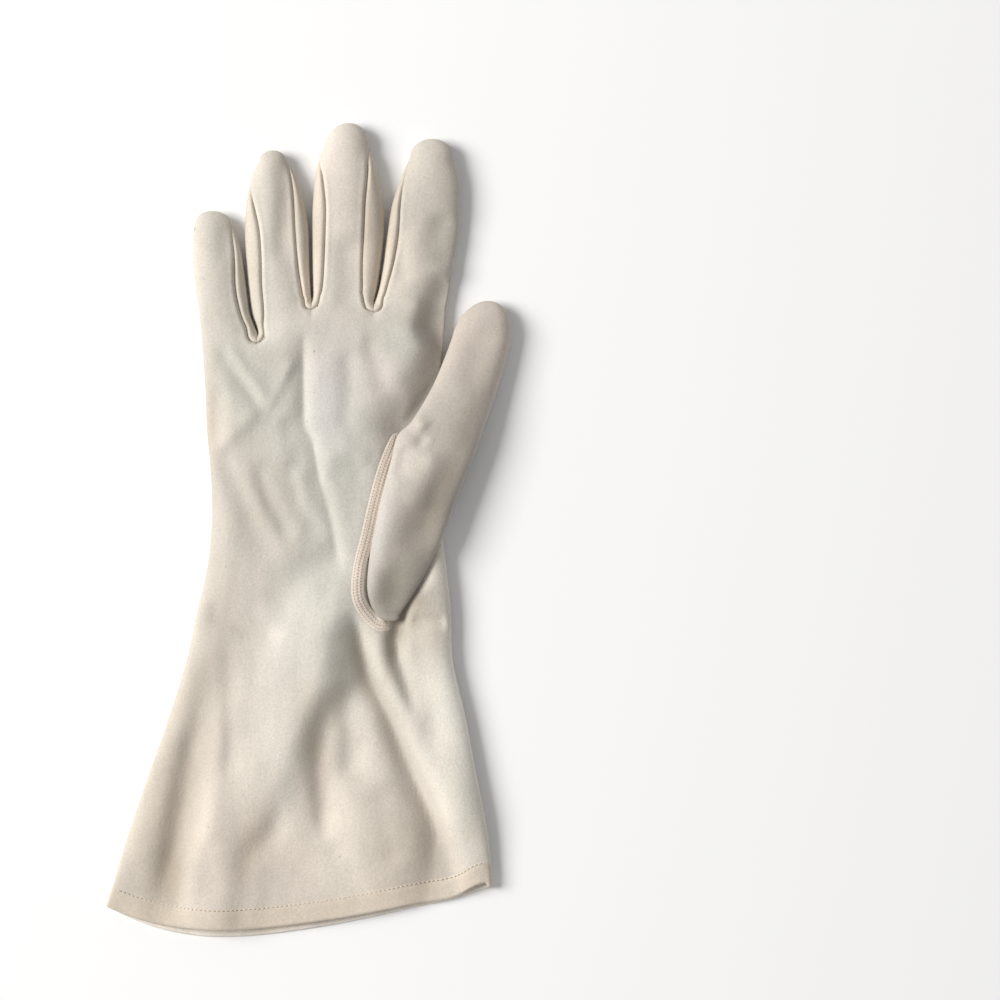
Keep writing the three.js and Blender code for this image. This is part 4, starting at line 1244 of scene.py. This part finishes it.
THUMB_TONES_AND_PAINTED_SHADING = table(
    AREA,
    (62, 62, 26, 16, -0.3, (205, 193, 181), 0.9),
    (38, 0, 34, 13, -0.3, (180, 173, 164), 0.85),
    # painted shade in a dent across the middle of the thumb
    (43.5, 6, 15, 4.5, -0.57, (150, 142, 131), 0.75),
    # dark patch at the thumb's base: partly soiling, partly painted shade
    (30, -24, 9, 6, -0.3, (126, 121, 110), 0.85),
    (36, 28, 8, 5, 0, (200, 190, 180), 0.7),
    (54, 43, 10, 7, -0.3, (208, 200, 189), 0.5),
    # painted highlight along the thumb's left side, which faces the light
    (27, -4, 18, 2.5, -0.2, (212, 209, 205), 0.4),
    (46.5, 26, 5, 3, -0.4, (238, 228, 216), 0.7),
    # painted shade along the thumb's right side, which faces away from the light
    (51, 14, 26, 3.2, -0.32, (140, 132, 119), 0.7),
)
HEM_TONE = (214, 199, 180)
# The back's hem, seen below the front's, is near white and takes a near-full share of the hem tone:
# partly its lighter cloth, partly painted light that lifts the shade under the front hem
BACK_HEM_TONE_AND_PAINTED_LIGHT = (246, 236, 223)
HEM_SHARE = SimpleNamespace(back=0.95, less_on_palm=0.35, before=1, after=0.5)
PALM_SIDE = (2.2, 3.4)  # heights between which the back's tone turns into the palm's
# Painted shade: the cloth is painted darker in the valleys of the palm's folds, by the next two values
FOLD_PAINTED_SHADE = 0.045  # how much darker the cloth is for each millimetre of a fold's depth
DEEPEST_PAINTED_SHADE = 2.5


def paint(mesh, points, areas):
    """Gives each point its soft tone, with painted shade in the valleys of the folds and painted shade
    and highlights among the patches, and the hem its warmer one, painted lighter on the back where the
    front hem shades it.
    """
    xy = points[:, :2]
    tone = np.tile(linear(CLOTH_TONE), (len(points), 1))
    palm_side = smoothstep(*PALM_SIDE, points[:, 2])
    # painted shade in the valleys of the folds
    depth = np.clip(-palm_folds(xy), 0, DEEPEST_PAINTED_SHADE) * palm_side
    tone *= (1 - FOLD_PAINTED_SHADE * depth)[:, None]
    for area in areas:
        across, along = across_and_along(xy, area)
        off = (along / area.long) ** 2 + (across / area.wide) ** 2
        share = area.strength * palm_side * np.exp(-off / 2)
        tone += (linear(area.colour) - tone) * share[:, None]
    hem_end = HEM_DEPTH - HEM_SHARE.before, HEM_DEPTH + HEM_SHARE.after
    share = 1 - smoothstep(*hem_end, above_hem(xy))
    # the back takes more of its lighter hem tone, partly painted light under the front hem
    share *= HEM_SHARE.back - HEM_SHARE.less_on_palm * palm_side
    hem_tone = between(linear(BACK_HEM_TONE_AND_PAINTED_LIGHT), linear(HEM_TONE), palm_side)
    tone += (hem_tone - tone) * share[:, None]
    attribute = mesh.color_attributes.new("tone", "FLOAT_COLOR", "POINT")
    colours = np.concatenate([tone, np.ones((len(tone), 1))], axis=1)
    attribute.data.foreach_set("color", colours.astype(np.float32).ravel())


def above_hem(xy):
    """Distance from the edge of the cuff."""
    away, _ = nearest(HEM_EDGE, xy)
    return np.abs(away)


# Materials: the noises in their tone, and in their relief in metres

NOISE_RANGE = (0.3, 0.7)
MOTTLE = SimpleNamespace(
    scale=90, detail=6, roughness=0.6, darkest=0.9, lightest=1.06, stretch=(1, 0.4, 1)
)
GRAIN = SimpleNamespace(scale=1400, detail=2, roughness=0.5, darkest=0.92, lightest=1.07)
TWIST = SimpleNamespace(scale=1500, detail=2, roughness=0.5, darkest=0.72)
RUMPLED = SimpleNamespace(scale=75, detail=3, roughness=0.5, strength=0.35, distance=0.0008)
NAP = SimpleNamespace(scale=900, detail=4, roughness=0.5, strength=0.5, distance=0.0002)


def socket(node, name, value):
    node.inputs[name].default_value = value


def new_material(name):
    material = bpy.data.materials.new(name)
    material.use_nodes = True
    tree = material.node_tree
    return material, tree, tree.nodes["Principled BSDF"]


def noise_from(tree, place, kind):
    node = tree.nodes.new("ShaderNodeTexNoise")
    socket(node, "Scale", kind.scale)
    socket(node, "Detail", kind.detail)
    socket(node, "Roughness", kind.roughness)
    tree.links.new(place, node.inputs["Vector"])
    return node.outputs["Fac"]


def mapped(tree, value, low, high, to_low, to_high, interpolation="LINEAR"):
    node = tree.nodes.new("ShaderNodeMapRange")
    node.interpolation_type = interpolation
    socket(node, "From Min", low)
    socket(node, "From Max", high)
    socket(node, "To Min", to_low)
    socket(node, "To Max", to_high)
    tree.links.new(value, node.inputs["Value"])
    return node.outputs["Result"]


def multiplied(tree, vector, factors):
    node = tree.nodes.new("ShaderNodeVectorMath")
    node.operation = "MULTIPLY"
    node.inputs[1].default_value = factors
    tree.links.new(vector, node.inputs[0])
    return node.outputs["Vector"]


def scaled(tree, colour, factor):
    node = tree.nodes.new("ShaderNodeVectorMath")
    node.operation = "SCALE"
    tree.links.new(colour, node.inputs[0])
    tree.links.new(factor, node.inputs["Scale"])
    return node.outputs["Vector"]


def darkened_at(tree, place, colour, specks, height):
    """The colour with small dark specks at the given places on the cloth."""
    for speck in specks:
        away = tree.nodes.new("ShaderNodeVectorMath")
        away.operation = "DISTANCE"
        level = height(np.array([[speck.x, speck.y]]))[0]
        away.inputs[1].default_value = (speck.x * MM, speck.y * MM, level * MM)
        tree.links.new(place, away.inputs[0])
        edge = 0, speck.radius * MM, 1 - speck.strength, 1
        factor = mapped(tree, away.outputs["Value"], *edge, interpolation="SMOOTHSTEP")
        colour = scaled(tree, colour, factor)
    return colour


def uneven_tone(tree, place):
    """How light the cloth is: broad mottling, longer along the glove, times the knit's grain."""
    stretched = multiplied(tree, place, MOTTLE.stretch)
    both = tree.nodes.new("ShaderNodeMath")
    both.operation = "MULTIPLY"
    for number, (where, kind) in enumerate(((stretched, MOTTLE), (place, GRAIN))):
        value = noise_from(tree, where, kind)
        factor = mapped(tree, value, *NOISE_RANGE, kind.darkest, kind.lightest)
        tree.links.new(factor, both.inputs[number])
    return both.outputs["Value"]


def relief(tree, place, kinds):
    """Normals of bumps laid one on another."""
    normal = None
    for kind in kinds:
        bump = tree.nodes.new("ShaderNodeBump")
        socket(bump, "Strength", kind.strength)
        socket(bump, "Distance", kind.distance)
        tree.links.new(noise_from(tree, place, kind), bump.inputs["Height"])
        if normal:
            tree.links.new(normal, bump.inputs["Normal"])
        normal = bump.outputs["Normal"]
    return normal


def knit_material(name, warmth, specks=(), height=None, roughness=0.92, sheen=0.12):
    """Fine knit with a light nap and soft uneven tone."""
    material, tree, shader = new_material(name)
    place = tree.nodes.new("ShaderNodeTexCoord").outputs["Object"]
    tone = tree.nodes.new("ShaderNodeVertexColor")
    tone.layer_name = "tone"
    warm = multiplied(tree, tone.outputs["Color"], linear(warmth))
    shaded = scaled(tree, warm, uneven_tone(tree, place))
    spotted = darkened_at(tree, place, shaded, specks, height)
    tree.links.new(spotted, shader.inputs["Base Color"])
    tree.links.new(relief(tree, place, (RUMPLED, NAP)), shader.inputs["Normal"])
    socket(shader, "Roughness", roughness)
    socket(shader, "Specular IOR Level", 0.15)
    socket(shader, "Sheen Weight", sheen)
    socket(shader, "Sheen Roughness", 0.5)
    return material


def thread_material(name, colour):
    """Twisted sewing thread; also the dark bars of painted shade for the needle holes."""
    material, tree, shader = new_material(name)
    place = tree.nodes.new("ShaderNodeTexCoord").outputs["Object"]
    ramp = tree.nodes.new("ShaderNodeValToRGB")
    ramp.color_ramp.elements[0].color = (*(linear(colour) * TWIST.darkest), 1)
    ramp.color_ramp.elements[1].color = (*linear(colour), 1)
    tree.links.new(noise_from(tree, place, TWIST), ramp.inputs["Fac"])
    tree.links.new(ramp.outputs["Color"], shader.inputs["Base Color"])
    socket(shader, "Roughness", 0.7)
    return material


def floor_material():
    material, tree, shader = new_material("pale_floor")
    socket(shader, "Base Color", (0.93, 0.93, 0.93, 1))
    socket(shader, "Roughness", 0.9)
    return material


# Stage, in metres

PHOTO_WIDTH = 0.375  # what the photograph's frame spans on the surface
VIEW_CENTRE = Vector((0.0719, 0.0105, 0.0043))
CAMERA_HEIGHT = 1.4
SENSOR = 36.0
KEY_PLACE = (-2.3, 0.5, 1.9)
SKY_STRENGTH = 0.37
FLOOR_HALF = 3.0


def make_camera():
    data = bpy.data.cameras.new("camera")
    data.sensor_width = SENSOR
    data.lens = SENSOR * CAMERA_HEIGHT / PHOTO_WIDTH
    camera = bpy.data.objects.new("camera", data)
    camera.location = VIEW_CENTRE + Vector((0, 0, CAMERA_HEIGHT))
    bpy.context.scene.collection.objects.link(camera)
    bpy.context.scene.camera = camera


def make_area_light(name, place, size, power, colour):
    data = bpy.data.lights.new(name, "AREA")
    data.size = size
    data.energy = power
    data.color = colour
    light = bpy.data.objects.new(name, data)
    light.location = place
    light.rotation_euler = (-Vector(place)).to_track_quat("-Z", "Y").to_euler()
    bpy.context.scene.collection.objects.link(light)


def make_stage():
    mesh = bpy.data.meshes.new("floor")
    half = FLOOR_HALF
    corners = [(-half, -half, 0), (half, -half, 0), (half, half, 0), (-half, half, 0)]
    mesh.from_pydata(corners, [], [(0, 1, 2, 3)])
    mesh.materials.append(floor_material())
    floor = bpy.data.objects.new("floor", mesh)
    bpy.context.scene.collection.objects.link(floor)
    make_area_light("key", KEY_PLACE, size=1.6, power=108, colour=(1.0, 0.99, 0.975))
    world = bpy.data.worlds.new("soft_sky")
    world.use_nodes = True
    background = world.node_tree.nodes["Background"]
    socket(background, "Color", (1.0, 1.0, 1.0, 1))
    socket(background, "Strength", SKY_STRENGTH)
    scene = bpy.context.scene
    scene.world = world
    scene.view_settings.view_transform = "Standard"


# Making it all

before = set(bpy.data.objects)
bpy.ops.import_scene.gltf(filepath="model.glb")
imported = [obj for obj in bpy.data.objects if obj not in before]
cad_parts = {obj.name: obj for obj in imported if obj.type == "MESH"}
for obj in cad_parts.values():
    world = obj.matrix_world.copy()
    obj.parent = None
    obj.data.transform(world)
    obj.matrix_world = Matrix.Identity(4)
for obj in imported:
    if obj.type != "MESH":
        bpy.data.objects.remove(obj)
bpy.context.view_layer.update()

OUTLINE = outline()
SEAMS = slot_seams()
HEM_EDGE = hand_net(1)[0]

make_camera()
make_stage()
white = (255, 255, 255)
cloth_knit = knit_material("glove_knit", white, SPECKS, palm_height)
strip_knit = knit_material("fourchette_knit", (255, 252, 248))
thumb_knit = knit_material("thumb_knit", white, THUMB_SPECKS, lambda points: [THUMB_TOP])
band_knit = knit_material("seam_band_knit", (255, 251, 247), roughness=0.95, sheen=0.1)
thread = thread_material("thread", (244, 232, 212))
# painted shade of the needle holes, as a dark thread colour
hole_shade = thread_material("needle_hole_painted_shade", (156, 126, 90))
band_thread = thread_material("band_thread", (226, 213, 199))

trank = make_trank(cloth_knit)
strips = [make_fourchette(strip, strip_knit) for strip in FOURCHETTES]
thumb = make_thumb(thumb_knit)
band, band_lines = make_band(band_knit)
band_stitches = make_stitches("band_stitches", band_lines, BAND_STITCH, band_thread)
hem_front = [hem_line(1, palm_height, STITCH.lift)]
# the line of the dark bars of painted shade for the needle holes
hem_hole_shade_lines = [hem_line(1, palm_height, NEEDLE_HOLE_PAINTED_SHADE.lift)]
hem_back = [hem_line(BACK_BOW, back_height, STITCH.radius)]
hem_stitches = make_stitches("hem_stitches_palm", hem_front, STITCH, thread)
# dark bars of painted shade between the hem's stitches
hem_needle_hole_painted_shade = make_stitches("hem_needle_hole_painted_shade", hem_hole_shade_lines, NEEDLE_HOLE_PAINTED_SHADE, hole_shade)
hem_stitches_back = make_stitches("hem_stitches_back", hem_back, STITCH, thread)
